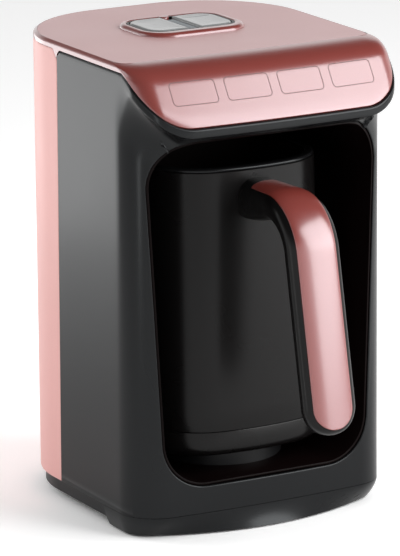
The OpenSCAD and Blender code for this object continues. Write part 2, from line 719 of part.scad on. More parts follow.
// A rounded square whose four faces are shallow arcs; inset moves the outline inwards.
function pot_quarter(half, depth, r, face_r) =
    let (a = face_r - half, b = face_r - depth, gap = norm([a, b]), q = face_r - r,
         reach = sqrt(q * q - gap * gap / 4),
         cx = b / gap * reach - a / 2, cy = a / gap * reach - b / 2,
         side = asin(cy / q), end = 90 - asin(cx / q))
    concat([for (v = steps(0, side, 2)) [face_r * cos(v) - a, face_r * sin(v)]],
           [for (v = steps(side, end, 10)) [cx + r * cos(v), cy + r * sin(v)]],
           [for (v = steps(end, 90, 3)) [face_r * cos(v), face_r * sin(v) - b]],
           [[0, depth]]);
function pot_ring(z, inset) =
    let (shrink = inset + pot_taper / 2 * (z - pot_z) / pot_h,
         quarter = pot_quarter(pot_w / 2 - shrink, pot_d / 2 - shrink, pot_r - inset, pot_face_r - inset),
         back = concat(quarter, [for (p = tail(reversed(quarter), 1)) [-p[0], p[1]]]))
    [for (p = concat(back, [for (p = reversed(tail(reversed(tail(back, 1)), 1))) [-p[0], -p[1]]]))
        [p[0], p[1] - pot_y, z]];
// Rings that follow a quarter round of radius r, from its flat bottom up to its upright side.
function round_rings(z, inset, r) =
    [for (v = [90, 70, 50, 30, 0]) pot_ring(z + r * (1 - cos(90 - v)), inset + r * (1 - cos(v)))];

module pot_shell() at_origin() color([0.07, 0.07, 0.07])
    difference() {
        skin(concat([for (f = [0, 0.33, 0.67, 1]) pot_ring(lerp(shell_top, ring_top, f), pot_wall)],
                    [for (f = [0, 0.33, 0.67, 1]) pot_ring(lerp(ring_top, shell_top, f), 0)]));
        at_handle_screws() cylinder(r = screw_r + screw_clear, h = 20, center = true);
    }
module pot_cup() at_origin() color([0.75, 0.75, 0.76])
    // Steel cup whose rim is rolled out over the shell's top edge.
    skin(concat(round_rings(pot_z + sole_t, cup_in, cup_round),
                [pot_ring(shell_top + 0.1, cup_in), pot_ring(shell_top + 0.1, 0.4),
                 pot_ring(rim_top - 0.6, 0.2), pot_ring(rim_top, 0.9),
                 pot_ring(rim_top, cup_in - 0.6), pot_ring(rim_top - 1, cup_in + cup_t)],
                reversed(round_rings(pot_z + sole_t + cup_t, cup_in + cup_t, cup_round - cup_t))));
module pot_base_ring() at_origin() color([0.07, 0.07, 0.07]) {
    lip = pot_wall + 0.2;
    inner = lip + 1.2;
    low = pot_z + 0.2;
    difference() {
        skin(concat(round_rings(low, 0, 6),
                    [pot_ring(ring_top - joint_gap, 0), pot_ring(ring_top - joint_gap, lip),
                     pot_ring(ring_top + 3, lip)]));
        skin(concat(round_rings(pot_z + sole_t - 0.1, inner, 6), [pot_ring(ring_top + 4, inner)]));
        translate([0, -pot_y, 0]) cylinder(r = sole_r + 0.1, h = pot_z + 10);
    }
}
module pot_sole() at_origin() color([0.7, 0.7, 0.7])
    translate([0, -pot_y, pot_z]) cylinder(r = sole_r, h = sole_t);

// ---- Handle: a section swept along a run, a bend and a straight grip ----
pot_front = pot_y + pot_d / 2 - pot_taper / 2;
handle_z = rim_top - handle_drop;
root_in = 5;
run_l = root_in + handle_run;
bend_l = bend_r * bend_angle * PI / 180;
handle_l = run_l + bend_l + grip_l;
face_crown = 2.4;
back_crown = 3.6;
end_soft = 5;

// Outer line of the handle at distance s from its root: [y, z, angle turned].
function handle_path(s) =
    let (y0 = -pot_front - handle_run, z0 = handle_z - bend_r,
         turned = s < run_l ? 0 : min(bend_angle, (s - run_l) / bend_r * 180 / PI),
         beyond = max(0, s - run_l - bend_l), before = max(0, run_l - s))
    [y0 + before - bend_r * sin(turned) - beyond * cos(turned),
     z0 + bend_r * cos(turned) - beyond * sin(turned), turned];
function end_factor(left, r) = left >= r ? 1 : sqrt(max(0, 1 - pow(1 - left / r, 2)));
function full_width(s) = lerp(root_w, handle_w, pow(sin(90 * min(1, s / (run_l + bend_l / 2))), 2));
function half_width(s) = full_width(s) / 2 * end_factor(handle_l - s, handle_w / 2);
function half_thick(s) =
    let (t = s / run_l, u = min(1, max(0, (s - run_l) / bend_l)))
    (s < run_l ? lerp(root_t, grip_t + 4, t * t) : grip_t + 4 * pow(1 - u, 2)) / 2;
// Height of the handle's arched outer face above its centre line at distance x from the middle.
function face_height(s, x) =
    half_thick(s) * pow(max(0, 1 - pow(2 * abs(x) / full_width(s), face_crown)), 1 / face_crown);
function handle_point(s, x, up) =
    let (p = handle_path(s), n = up - half_thick(s))
    [x, p[0] - n * sin(p[2]), p[1] + n * cos(p[2])];

function power_of(v, crown) = sign(v) * pow(abs(v), 2 / crown);
function handle_ring(s) =
    let (thin = end_factor(handle_l - s, end_soft))
    [for (a = [0:15:345]) let (crown = a < 180 ? face_crown : back_crown)
        handle_point(s, half_width(s) * power_of(cos(a), crown), half_thick(s) * thin * power_of(sin(a), crown))];
handle_stations = concat(steps(0, run_l, 5), steps(run_l, run_l + bend_l, 9),
                         steps(run_l + bend_l, handle_l - 15, 4),
                         [for (a = [90, 72, 55, 40, 28, 18, 10, 4]) handle_l - 15 + 15 * cos(a)]);
handle_rings = [for (s = handle_stations) handle_ring(s)];

insert_from = root_in + 9;
insert_to = handle_l - 3;
insert_corner = 1.5;
// A ribbon on the handle's outer face, cut straight at the root and round at the tip.
module ribbon(grow, low, high) {
    r = insert_w / 2 + grow;
    from = insert_from - grow;
    to = insert_to + grow;
    ends = [for (a = [5, 20, 38, 58, 78]) r * (1 - cos(a))];
    spots = concat([from, from + insert_corner / 3], steps(from + insert_corner, run_l + bend_l, 12),
                   steps(run_l + bend_l, to - r, 4), [to - r], [for (e = reversed(ends)) to - e]);
    skin([for (s = spots)
        let (narrowed = full_width(s) / handle_w * r - insert_corner * (1 - end_factor(s - from, insert_corner)),
             half = narrowed * end_factor(to - s, r))
        concat([for (u = [-1:0.25:1]) handle_point(s, u * half, face_height(s, u * half) + low)],
               [for (u = [1:-0.25:-1]) handle_point(s, u * half, face_height(s, u * half) + high)])]);
}
module at_handle_screws() {
    for (drop = [-5, 5]) translate([0, -pot_front, handle_z - root_t / 2 + drop]) rotate([90, 0, 0])
        children();
}
insert_proud = 0.2;
module pot_handle() at_origin() color([0.05, 0.05, 0.05])
    difference() {
        skin(handle_rings);
        skin([pot_ring(ring_top, -0.1), pot_ring(rim_top, -0.1)]);
        ribbon(joint_gap, insert_proud - insert_t - 0.1, 4);
        at_handle_screws() cylinder(r = screw_r + screw_clear, h = 30, center = true);
    }
module handle_insert() at_origin() color([0.80, 0.50, 0.44])
    ribbon(0, insert_proud - insert_t, insert_proud);
module handle_screws() at_origin() color([0.7, 0.7, 0.72])
    at_handle_screws() {
        translate([0, 0, -pot_wall - 1.7]) cylinder(r = screw_head_r - 0.3, h = 1.5);
        translate([0, 0, -pot_wall - 0.3]) cylinder(r = screw_r, h = 14);
    }

// ---- Footprint: from the tip of the handle to the cord gland ----
handle_reach = -handle_point(insert_to, 0, half_thick(insert_to) + insert_proud)[1];
frame_y = (handle_reach - back_reach - gland_flange) / 2;

front_housing();
rear_shell();
top_cover();
top_plate();
niche_liner();
sensor_lens();
button_bezel();
button_frame();
key_divider();
left_key();
right_key();
key_springs();
control_board();
board_screws();
hotplate();
heating_element();
thermal_cutout();
power_board();
base_plate();
rubber_feet();
base_screws();
cord_gland();
pot_shell();
pot_cup();
pot_base_ring();
pot_sole();
pot_handle();
handle_insert();
handle_screws();
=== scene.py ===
"""Looks of the electric Turkish coffee maker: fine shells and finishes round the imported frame.

Sizes are in millimetres from the machine's own axis, front towards -Y; place() turns them into
metres in the frame.
"""
import json
from math import acos, asin, atan, atan2, copysign, cos, hypot, pi, radians, sin, sqrt

import bmesh
import bpy
import numpy as np
from mathutils import Matrix, Vector

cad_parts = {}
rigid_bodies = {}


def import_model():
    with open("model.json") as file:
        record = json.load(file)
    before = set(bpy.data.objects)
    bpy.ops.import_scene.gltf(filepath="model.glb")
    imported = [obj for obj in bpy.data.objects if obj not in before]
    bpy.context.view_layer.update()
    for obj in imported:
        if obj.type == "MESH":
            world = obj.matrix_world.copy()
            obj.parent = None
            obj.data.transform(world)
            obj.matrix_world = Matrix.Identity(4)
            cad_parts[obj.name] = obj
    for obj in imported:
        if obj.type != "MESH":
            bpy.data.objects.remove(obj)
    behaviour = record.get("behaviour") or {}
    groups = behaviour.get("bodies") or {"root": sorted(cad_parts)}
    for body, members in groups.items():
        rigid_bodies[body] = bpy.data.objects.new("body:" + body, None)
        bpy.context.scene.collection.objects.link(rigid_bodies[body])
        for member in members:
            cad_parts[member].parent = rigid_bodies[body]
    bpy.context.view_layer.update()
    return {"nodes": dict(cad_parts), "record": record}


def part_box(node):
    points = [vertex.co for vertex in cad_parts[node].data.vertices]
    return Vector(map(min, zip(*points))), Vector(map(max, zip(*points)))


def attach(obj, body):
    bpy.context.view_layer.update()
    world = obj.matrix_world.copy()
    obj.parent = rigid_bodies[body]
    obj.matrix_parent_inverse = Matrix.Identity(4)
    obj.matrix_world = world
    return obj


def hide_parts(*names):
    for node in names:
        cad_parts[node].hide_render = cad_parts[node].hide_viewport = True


for leftover in list(bpy.data.objects):
    bpy.data.objects.remove(leftover)
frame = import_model()

# ---- sizes, from the frame
MM = 0.001
TINY = 1e-9


def span(node):
    """Lowest and highest corner of a CAD node, in millimetres."""
    return [np.array(corner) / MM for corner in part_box(node)]


# Casing: reach behind the axis, half width, heights, walls, corner radii and the seam between the shells.
BACK_REACH = 81.0
HALF_W = span("rear_shell")[1][0]
AXIS_Y = span("rear_shell")[1][1] - BACK_REACH
BODY_H = span("top_cover")[1][2]
NOSE_Z = span("top_cover")[0][2]
SKIRT_Z = 12.5
RIM_Z = BODY_H - 3.6
WALL, GAP = 2.5, 0.15
REAR_R = 60.0
REAR_MID_X, REAR_MID_Y = HALF_W - REAR_R, BACK_REACH - REAR_R
FRONT_REACH, FRONT_R, FRONT_BOW = 80.0, 22.0, 2.5
SEAM_FOOT, SEAM_LEAN = 11.0, 3.0
# Ridge, sloping panel (PANEL_RUN forward for each millimetre down), nose, lip and sweep.
RIDGE_Y, PANEL_Y, PANEL_DROP, PANEL_RUN = 60.0, 84.0, 8.5, 0.64
PANEL_Z = BODY_H - PANEL_DROP
PANEL_SLOPE = hypot(1, PANEL_RUN)
NOSE_R = 12.0
NOSE_SWING = RIM_Z - NOSE_Z
LIP_H, LIP_PROUD, SWEEP_H = 5.0, 0.7, 28.0
CURL_IN, CURL_H, EDGE_ROUND, LIP_BLEND = 1.2, 7.0, 2.0, 8.0
TAB_R, TAB_BACK, TAB_BITE = 6.0, 5.0, 0.5
# Base plate's front skirt.
FOOT_Z, FOOT_IN, FOOT_OUT, FOOT_R, FOOT_BOW, SKIRT_BACK = 1.0, 3.5, 2.5, 15.0, 16.0, -38.0
SKIRT_POWER = 1.6
# Niche and its liner.
NICHE_LOW, NICHE_HIGH, NICHE_Z, NICHE_TOP, NICHE_R = 61.0, 67.5, 29.0, BODY_H - 40.5, 24.0
NICHE_BACK = 34.0
LINER_T, LINER_SETBACK, LINER_ROUND = 1.6, 1.0, 7.0
# Top plate, the bed it lies in and the cap under the bed.
PLATE_EDGE, PLATE_BOW, PLATE_R, PLATE_T, CAP_T = 2.2, 1.3, 6.0, 1.6, 1.7
PLATE_GAP, PLATE_CHAMFER, PLATE_LIFT = 0.06, 0.12, 0.05
BED_Z = BODY_H - PLATE_T
CAP_Z = BED_Z - CAP_T
# Pot.
POT_W, POT_D, POT_TAPER, POT_R, POT_FACE_R, POT_Y = 105.0, 94.0, 5.0, 34.0, 138.0, 24.5
POT_WALL = 2.0
POT_Z = span("pot_sole")[0][2]
SOLE_T = 1.5
RIM_TOP = span("pot_cup")[1][2]
POT_H = RIM_TOP - POT_Z
RING_TOP = POT_Z + 14.3
SHELL_TOP = RIM_TOP - 2.0
CUP_IN, CUP_T, CUP_ROUND = 4.8, 0.8, 8.0
# Keys, the tub they sink into and the ring round them.
KEYS_Y = 13.7
KEY_W, KEY_D, KEY_GAP, KEY_CLEAR, KEY_R, KEY_H = 22.2, 33.5, 6.8, 0.3, 9.0, 3.4
KEY_TOP = span("left_key")[1][2]
KEY_RISE = KEY_TOP - BODY_H
KEY_X = (KEY_GAP + KEY_W) / 2
TUB_WALL, NOTCH_R = 1.4, 2.8
BEZEL_FRONT, BEZEL_EXTRA, BEZEL_R, BEZEL_LOWER, BEZEL_ROUND = 7.3, 3.0, KEY_R + 7, 0.2, 3.0
BAR_SHORTER, BAR_FRONT, BAR_LOWER = 4.6, 0.2, 0.9
CLUSTER_W, CLUSTER_D = 2 * KEY_W + KEY_GAP + 2 * KEY_CLEAR, KEY_D + 2 * KEY_CLEAR
# Boxes printed on the panel.
BOX_W, BOX_PITCH, BOX_TOP, BOX_LOW, BOX_R = 26.2, 31.5, 247.9, 236.6, 2.4
LINE_W, LINE_PROUD, LINE_SUNK = 0.42, 0.06, -0.1
# Handle: a level run, a bend and a straight grip; the insert starts on the run.
HANDLE_W, ROOT_W, GRIP_T, ROOT_T, HANDLE_DROP = 30.5, 24.0, 12.0, 22.0, 6.5
HANDLE_RUN, BEND_R, BEND_ANGLE, GRIP_L, ROOT_IN = 29.0, 34.0, radians(78.5), 96.0, 5.0
INSERT_W, INSERT_PROUD, INSERT_CORNER = 23.5, 0.2, 1.5
RECESS, RECESS_CLEAR = 0.7, 0.2
FACE_CROWN, BACK_CROWN, END_SOFT, BEND_SWELL = 2.4, 3.6, 5.0, 4.0


def lerp(a, b, t):
    return a + (b - a) * t


def clamp(t, low=0.0, high=1.0):
    return min(high, max(low, t))


def smooth_step(t):
    t = clamp(t)
    return t * t * (3 - 2 * t)


def evenly(a, b, count, last=False):
    """Values from a towards b in even steps, and b itself if last is set."""
    return [lerp(a, b, i / count) for i in range(count + last)]


def on_circle(x, y, r, a):
    return x + r * cos(a), y + r * sin(a)


def mirrored(points):
    """The points on the other side of X = 0, in reverse order."""
    return [(-x, *rest) for x, *rest in reversed(points)]


def place(points):
    """Millimetres on the machine's axis to metres in the frame."""
    return (np.asarray(points, float) + np.array([0, AXIS_Y, 0])) * MM


# ---- meshes
WELD, SLIVER = 0.01, 0.005


def grid_faces(rows, cols, close_cols=False, close_rows=False, start=0):
    """Quads over a grid of points stored row by row."""
    faces = []
    for r in range(rows if close_rows else rows - 1):
        for c in range(cols if close_cols else cols - 1):
            a, b = r * cols + c, r * cols + (c + 1) % cols
            d, e = (r + 1) % rows * cols + c, (r + 1) % rows * cols + (c + 1) % cols
            faces.append((start + a, start + b, start + e, start + d))
    return faces


def add_object(name, data):
    thing = bpy.data.objects.new(name, data)
    bpy.context.scene.collection.objects.link(thing)
    return thing


def solid_from(name, shape, weld=True):
    """An object from points in millimetres and faces, its normals turned outwards."""
    points, faces = shape
    mesh = bpy.data.meshes.new(name)
    mesh.from_pydata([tuple(p) for p in place(points)], [], faces)
    piece = add_object(name, mesh)
    work = bmesh.new()
    work.from_mesh(mesh)
    if weld:
        bmesh.ops.remove_doubles(work, verts=work.verts, dist=WELD * MM)
        bmesh.ops.dissolve_degenerate(work, edges=work.edges, dist=SLIVER * MM)
    bmesh.ops.recalc_face_normals(work, faces=work.faces)
    work.to_mesh(mesh)
    work.free()
    return piece


def make(name, shape, body, slot, replaces=None, finish=None, sharp=35.0):
    """A visible piece, shaded smooth and given to its body; its finish is its slot's unless given."""
    piece = solid_from(name, shape)
    mesh = piece.data
    for polygon in mesh.polygons:
        polygon.use_smooth = True
    mesh.set_sharp_from_angle(angle=radians(sharp))
    mesh.materials.append(finish or FINISHES[slot])
    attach(piece, body)
    if replaces:
        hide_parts(replaces)
    return piece


def skin(rings, close_rows=False):
    """Points and faces of a skin through closed rings of one length, capped unless the rows close."""
    cols = len(rings[0])
    faces = grid_faces(len(rings), cols, close_cols=True, close_rows=close_rows)
    if not close_rows:
        faces += [tuple(range(cols)), tuple(range((len(rings) - 1) * cols, len(rings) * cols))]
    return [p for ring in rings for p in ring], faces


def strip(rings):
    """Points and faces of a wall through open lines, the last joined to the first, its ends capped."""
    cols = len(rings[0])
    faces = grid_faces(len(rings), cols, close_rows=True)
    faces += [tuple(r * cols + c for r in range(len(rings))) for c in (0, cols - 1)]
    return [p for ring in rings for p in ring], faces


def thicken(piece, thickness):
    """Gives an open skin a wall on its inner side, once its leftmost face looks left."""
    leftmost = min(piece.data.polygons, key=lambda polygon: polygon.center.x)
    if leftmost.normal.x > 0:
        piece.data.flip_normals()
    wall = piece.modifiers.new("wall", "SOLIDIFY")
    wall.thickness = thickness * MM
    wall.offset = -1
    bake_modifiers(piece)


def bake_modifiers(piece):
    graph = bpy.context.evaluated_depsgraph_get()
    result = bpy.data.meshes.new_from_object(piece.evaluated_get(graph))
    piece.modifiers.clear()
    piece.data = result


# ---- plan of the casing
# Stretches of the plan, anticlockwise from above, with t from 0 to 1 along each, but on the two sides
# from 1 at the front corner over 0 at the axis to -1 at the back end.
LEFT, FRONT_LEFT, FRONT, FRONT_RIGHT, RIGHT, BACK_RIGHT, BACK_LEFT = range(7)
FACE = (FRONT_LEFT, FRONT, FRONT_RIGHT)


def front_end(half, r, bow):
    """Tilt and half width of a bowed front where it meets its corner rounds."""
    tilt = atan(2 * bow / (half - r))
    return tilt, half - r + r * sin(tilt)


def plan_at(s, half, front, r, bow, back_at):
    """Point of the casing's plan at station s = (stretch, t)."""
    kind, t = s
    tilt, x_end = front_end(half, r, bow)
    y_mid = front + bow + r * cos(tilt)
    turn = pi / 2 - tilt
    rear = REAR_R - HALF_W + half
    if kind in (LEFT, RIGHT):
        return (-half if kind == LEFT else half), (lerp(0, y_mid, t) if t >= 0 else -t * back_at)
    if kind == FRONT_LEFT:
        return r - half - r * cos(turn * t), y_mid - r * sin(turn * t)
    if kind == FRONT:
        x = lerp(-x_end, x_end, t)
        return x, front + bow * (x / x_end) ** 2
    if kind == FRONT_RIGHT:
        return half - r + r * cos(turn * (1 - t)), y_mid - r * sin(turn * (1 - t))
    if kind == BACK_RIGHT:
        return on_circle(REAR_MID_X, REAR_MID_Y, rear, pi / 2 * t)
    return on_circle(-REAR_MID_X, REAR_MID_Y, rear, pi / 2 * (1 + t))


def stretch(kind, count, last=False):
    return [(kind, t) for t in evenly(0, 1, count, last)]


TAB_STEPS, SIDE_STEPS, CORNER_STEPS, FRONT_STEPS, REAR_STEPS = 60, 14, 28, 60, 48
LEFT_SIDE = [(LEFT, t) for t in evenly(-1, 0, TAB_STEPS)] + stretch(LEFT, SIDE_STEPS)
RIGHT_SIDE = [(RIGHT, 1.0)] + [(RIGHT, t) for _, t in reversed(LEFT_SIDE)]
LEFT_CORNER, RIGHT_CORNER = stretch(FRONT_LEFT, CORNER_STEPS), stretch(FRONT_RIGHT, CORNER_STEPS)
FRONT_STATIONS = LEFT_SIDE + LEFT_CORNER + stretch(FRONT, FRONT_STEPS) + RIGHT_CORNER + RIGHT_SIDE
ALL_STATIONS = (FRONT_STATIONS + stretch(BACK_RIGHT, REAR_STEPS, last=True)[1:]
                + stretch(BACK_LEFT, REAR_STEPS))
# The housing's face with the niche spans the front and the near part of both corners.
CORNER_CUT = 9
FACE_STATIONS = (LEFT_CORNER[CORNER_CUT:] + stretch(FRONT, FRONT_STEPS)
                 + RIGHT_CORNER[:CORNER_STEPS - CORNER_CUT + 1])
FACE_END = len(FACE_STATIONS) - 1


def ridge_front(z):
    t = sqrt(max(0.0, (BODY_H - z) / PANEL_DROP))
    knee = PANEL_Y - PANEL_DROP * PANEL_RUN
    return -((1 - t) ** 2 * RIDGE_Y + 2 * t * (1 - t) * knee + t * t * PANEL_Y)


def nose_front(z):
    return -PANEL_Y - (PANEL_Z - z) * PANEL_RUN if z < PANEL_Z else ridge_front(z)


def side_distance(s):
    if s[0] not in FACE:
        return 0.0
    return HALF_W - abs(plan_at(s, HALF_W, -RIDGE_Y, NOSE_R, FRONT_BOW, 0)[0])


def edge_z(s):
    """Height of the cover's lower edge: level in front, swung up round the corners to the rim."""
    if s[0] not in FACE:
        return RIM_Z
    out = NOSE_SWING - side_distance(s)
    return NOSE_Z if out <= 0 else RIM_Z - sqrt(max(0.0, NOSE_SWING ** 2 - out * out))


def behind_nose(s, z, inset, back_at):
    """A point at height z, set back by inset from the sloping nose and from the sides."""
    front = nose_front(z) + PANEL_SLOPE * inset
    return *plan_at(s, HALF_W - inset, front, NOSE_R - inset, FRONT_BOW, back_at), z


def seam_at(z):
    return SEAM_FOOT - SEAM_LEAN * (z - SKIRT_Z) / (BODY_H - SKIRT_Z)


TAB_LOW = RIM_Z - GAP - TAB_R + TAB_BITE
TAB_SEAM = seam_at(TAB_LOW)
TAB_MID = TAB_SEAM - TAB_R + TAB_BITE


def tab_line(y, back):
    """Edge of the rear shell's cut corner, which starts at back."""
    return TAB_LOW + (y - back) * (RIM_Z + 0.2 - TAB_LOW) / TAB_BACK


def tab_arc(y, radius):
    """Round upper rear corner of the front housing."""
    return TAB_LOW + sqrt(max(0.0, radius ** 2 - (y - TAB_MID) ** 2))


def rim_low(s, y):
    """Lower edge of the cover: along the sides it comes down in a tab between the two shells."""
    if s[0] in FACE or y < TAB_MID or y > TAB_SEAM + TAB_BACK:
        return edge_z(s)
    return min(RIM_Z, max(tab_arc(y, TAB_R + GAP), tab_line(y, TAB_SEAM)))


# ---- materials
def add_node(tree, kind, sockets=(), **settings):
    """A shader node; sockets maps its inputs to values or to other nodes' outputs."""
    node = tree.nodes.new("ShaderNode" + kind)
    for name, value in settings.items():
        setattr(node, name, value)
    for name, value in dict(sockets).items():
        if isinstance(value, bpy.types.NodeSocket):
            tree.links.new(value, node.inputs[name])
        else:
            node.inputs[name].default_value = value
    return node


ROUGH_SPREAD = 0.015
NOISE_LOW, NOISE_HIGH = 0.3, 0.7
GRAIN_DEPTH = 0.05


def material(name, color, rough, metallic=0.0, ior=1.45, coat=0.0, coat_rough=0.05, grain=0.0,
             grain_scale=900.0, shade=0.03, shade_scale=9.0, fleck=0.0, fleck_scale=2600.0,
             tint=(1.0, 1.0, 1.0)):
    """A moulded, lacquered or metal finish: slow shade and gloss variation, fine grain, flecks."""
    mat = bpy.data.materials.new(name)
    mat.use_nodes = True
    tree = mat.node_tree
    shader = tree.nodes["Principled BSDF"].inputs
    shader["Metallic"].default_value = metallic
    shader["IOR"].default_value = ior
    shader["Specular Tint"].default_value = (*tint, 1)
    shader["Coat Weight"].default_value = coat
    shader["Coat Roughness"].default_value = coat_rough
    where = add_node(tree, "TexCoord").outputs["Object"]

    def noise(scale, detail):
        node = add_node(tree, "TexNoise", {"Scale": scale, "Detail": detail, "Vector": where})
        return node.outputs["Fac"]

    def ramp(fac, low, high):
        return add_node(tree, "MapRange", {"From Min": NOISE_LOW, "From Max": NOISE_HIGH, "To Min": low,
                                           "To Max": high, "Value": fac}).outputs["Result"]

    level = ramp(noise(shade_scale, 3), 1 - shade, 1 + shade)
    if fleck:
        flecks = ramp(noise(fleck_scale, 2), 1 - fleck, 1 + fleck)
        level = add_node(tree, "Math", {0: level, 1: flecks}, operation="MULTIPLY").outputs["Value"]
    tone = add_node(tree, "Mix", {"Factor": 1.0, "A": (*color, 1), "B": level}, data_type="RGBA",
                    blend_type="MULTIPLY")
    tree.links.new(tone.outputs["Result"], shader["Base Color"])
    tree.links.new(ramp(noise(shade_scale * 3, 2), max(0.0, rough - ROUGH_SPREAD), rough + ROUGH_SPREAD),
                   shader["Roughness"])
    if grain:
        bump = add_node(tree, "Bump", {"Strength": grain, "Distance": GRAIN_DEPTH * MM,
                                       "Height": noise(grain_scale, 3)})
        tree.links.new(bump.outputs["Normal"], shader["Normal"])
    return mat


FINISHES = {
    "rose_shell": material("rose_shell_lacquer", (0.77, 0.41, 0.385), 0.42, ior=1.33, fleck=0.05),
    "rose_copper": material("rose_copper_lacquer", (0.22, 0.037, 0.028), 0.32, ior=1.9, coat=1.0,
                            coat_rough=0.18, fleck=0.08, tint=(0.96, 0.93, 1.0)),
    "rose_plate": material("rose_plate_lacquer", (0.52, 0.33, 0.33), 0.36, ior=1.45, fleck=0.05),
    "black_gloss": material("black_gloss_moulding", (0.007, 0.007, 0.0075), 0.22, ior=1.34, grain=0.02,
                            tint=(0.94, 0.98, 1.0)),
    "black_matt": material("black_matt_moulding", (0.006, 0.006, 0.0065), 0.34, ior=1.33, grain=0.04,
                           grain_scale=1400, shade=0.06, tint=(0.94, 0.97, 1.0)),
    "key_grey": material("key_grey_moulding", (0.22, 0.225, 0.225), 0.26, coat=0.5, fleck=0.03),
    "bar_grey": material("bar_grey_moulding", (0.09, 0.11, 0.125), 0.3, grain=0.05),
    "steel": material("brushed_steel", (0.45, 0.45, 0.46), 0.3, metallic=1.0, grain=0.1),
    "spring_steel": material("bright_steel", (0.6, 0.6, 0.62), 0.2, metallic=1.0),
    "cast_plate": material("dark_cast_aluminium", (0.012, 0.012, 0.013), 0.45, metallic=0.3, grain=0.1),
    "element_steel": material("heat_tinted_steel", (0.10, 0.085, 0.08), 0.4, metallic=1.0),
    "ceramic": material("unglazed_ceramic", (0.7, 0.68, 0.62), 0.7, grain=0.2),
    "green_board": material("solder_mask", (0.02, 0.11, 0.04), 0.35, shade=0.2, shade_scale=300),
    "brown_board": material("bare_laminate", (0.12, 0.07, 0.03), 0.5, shade=0.2, shade_scale=300),
    "rubber": material("black_rubber", (0.015, 0.015, 0.015), 0.75, grain=0.4, grain_scale=1200),
    "lens": material("dark_red_lens", (0.05, 0.004, 0.006), 0.08, ior=1.5, coat=0.5),
}
BLACK_SATIN = material("black_satin_moulding", (0.004, 0.0035, 0.0035), 0.28, ior=1.33, grain=0.03)
# The niche liner's own black moulding, made darker, redder and less glossy than the other black mouldings:
# painted shade in the niche.
NICHE_SHADED_BLACK = material("niche_black_moulding_painted_shade", (0.0035, 0.0015, 0.0015), 0.38, ior=1.16, grain=0.15,
                       grain_scale=1400, shade=0.12)
CUP_COAT = material("cup_coating", (0.006, 0.003, 0.003), 0.4, ior=1.2, grain=0.15, fleck=0.3,
                    fleck_scale=1800)
PRINT = material("printed_line", (0.16, 0.08, 0.08), 0.5, shade=0.05)


def finish_cad_nodes():
    """Gives every CAD node the finish of its material slot."""
    slots = {part["node"]: part["material_slot"] for part in frame["record"]["subparts"]}
    for name, node in frame["nodes"].items():
        for spot in node.material_slots:
            spot.material = FINISHES[slots[name]]


# ---- casing
CORNERS = ((1, 1), (-1, 1), (-1, -1), (1, -1))


def corner_arc(k, half_x, half_y, r, steps):
    """Round at corner k of a rectangle; corners are counted anticlockwise from the upper right."""
    sx, sy = CORNERS[k % 4]
    return [on_circle(sx * (half_x - r), sy * (half_y - r), r, pi / 2 * turn)
            for turn in evenly(k, k + 1, steps, last=True)]


def cluster_ring(turns, grow, notch=0.0, d=CLUSTER_D, r=KEY_R, y_mid=KEYS_Y):
    """Rounded rectangle round the keys: its points at the angles turns, as seen from its middle."""
    outline = np.concatenate([corner_arc(k, CLUSTER_W / 2 + grow, d / 2 + grow, r + grow, 32)
                              for k in range(4)])
    angles = np.unwrap(np.arctan2(outline[:, 1], outline[:, 0]))
    ring = []
    for a in turns:
        while a < angles[0]:
            a += 2 * pi
        while a >= angles[0] + 2 * pi:
            a -= 2 * pi
        k = int(np.searchsorted(angles, a))
        p, q = outline[k - 1], outline[k % len(outline)]
        ray = np.array([cos(a), sin(a)])
        edge = q - p
        cross = ray[0] * edge[1] - ray[1] * edge[0]
        reach = (p[0] * edge[1] - p[1] * edge[0]) / cross if abs(cross) > TINY else np.hypot(*p)
        x, y = reach * ray
        if notch and y > 0 and abs(x) < notch:
            y -= sqrt(notch * notch - x * x)
        ring.append((x, y + y_mid))
    return ring


def hole_ring(ring, grow):
    """The cluster's outline, with one point in line with each point of ring."""
    return cluster_ring([atan2(y - KEYS_Y, x) for x, y in ring], grow)


def plate_ring(gap):
    half = HALF_W - PLATE_EDGE - gap
    return [plan_at(s, half, gap - RIDGE_Y, PLATE_R - gap, PLATE_BOW, REAR_MID_Y) for s in ALL_STATIONS]


def at_height(ring, z):
    return [(x, y, z) for x, y in ring]


def outside_plate(x, y):
    """Moves a point that lies under the plate's front or its corners out to the plate's edge."""
    mid_x = HALF_W - PLATE_EDGE - PLATE_R
    mid_y = PLATE_BOW + PLATE_R - RIDGE_Y
    across, ahead = abs(x) - mid_x, y - mid_y
    if across <= 0:
        return x, min(y, PLATE_BOW * (x / mid_x) ** 2 - RIDGE_Y)
    if ahead >= 0:
        return copysign(max(abs(x), mid_x + PLATE_R), x), y
    reach = hypot(across, ahead)
    if reach < PLATE_R:
        return copysign(mid_x + across * PLATE_R / reach, x), mid_y + ahead * PLATE_R / reach
    return x, y


def cover_point(s, f):
    """A point of the cover's outside: f runs from 0 on the flat top to 1 at the lower edge."""
    y_guess = plan_at(s, HALF_W, -RIDGE_Y, NOSE_R, FRONT_BOW, REAR_MID_Y)[1]
    bottom = rim_low(s, y_guess)
    z = lerp(BODY_H, bottom, f)
    soft = EDGE_ROUND * max(0.0, 1 - (BODY_H - z) / EDGE_ROUND) ** 2
    near = clamp((z - edge_z(s)) / CURL_H)
    curl = CURL_IN * min(1.0, side_distance(s) / NOSE_R) * (1 - sqrt(max(0.0, 1 - (1 - near) ** 2)))
    x, y, z = behind_nose(s, z, soft * (1 - smooth_step(side_distance(s) / NOSE_R)) + curl, REAR_MID_Y)
    if s[0] in FACE:
        x, y = outside_plate(x, y)
    return x, y, z


COVER_ROWS = [0, 0.002, 0.005, 0.01, 0.018, 0.028, 0.04, 0.055, 0.07, 0.09, 0.115, 0.14, 0.17, 0.2, 0.23,
              0.26, 0.29, 0.33, 0.38, 0.44, 0.5, 0.56, 0.62, 0.68, 0.73, 0.77, 0.81, 0.84, 0.87, 0.9,
              0.925, 0.95, 0.97, 0.985, 1.0]
TUB_HOLE = TUB_WALL + KEY_CLEAR


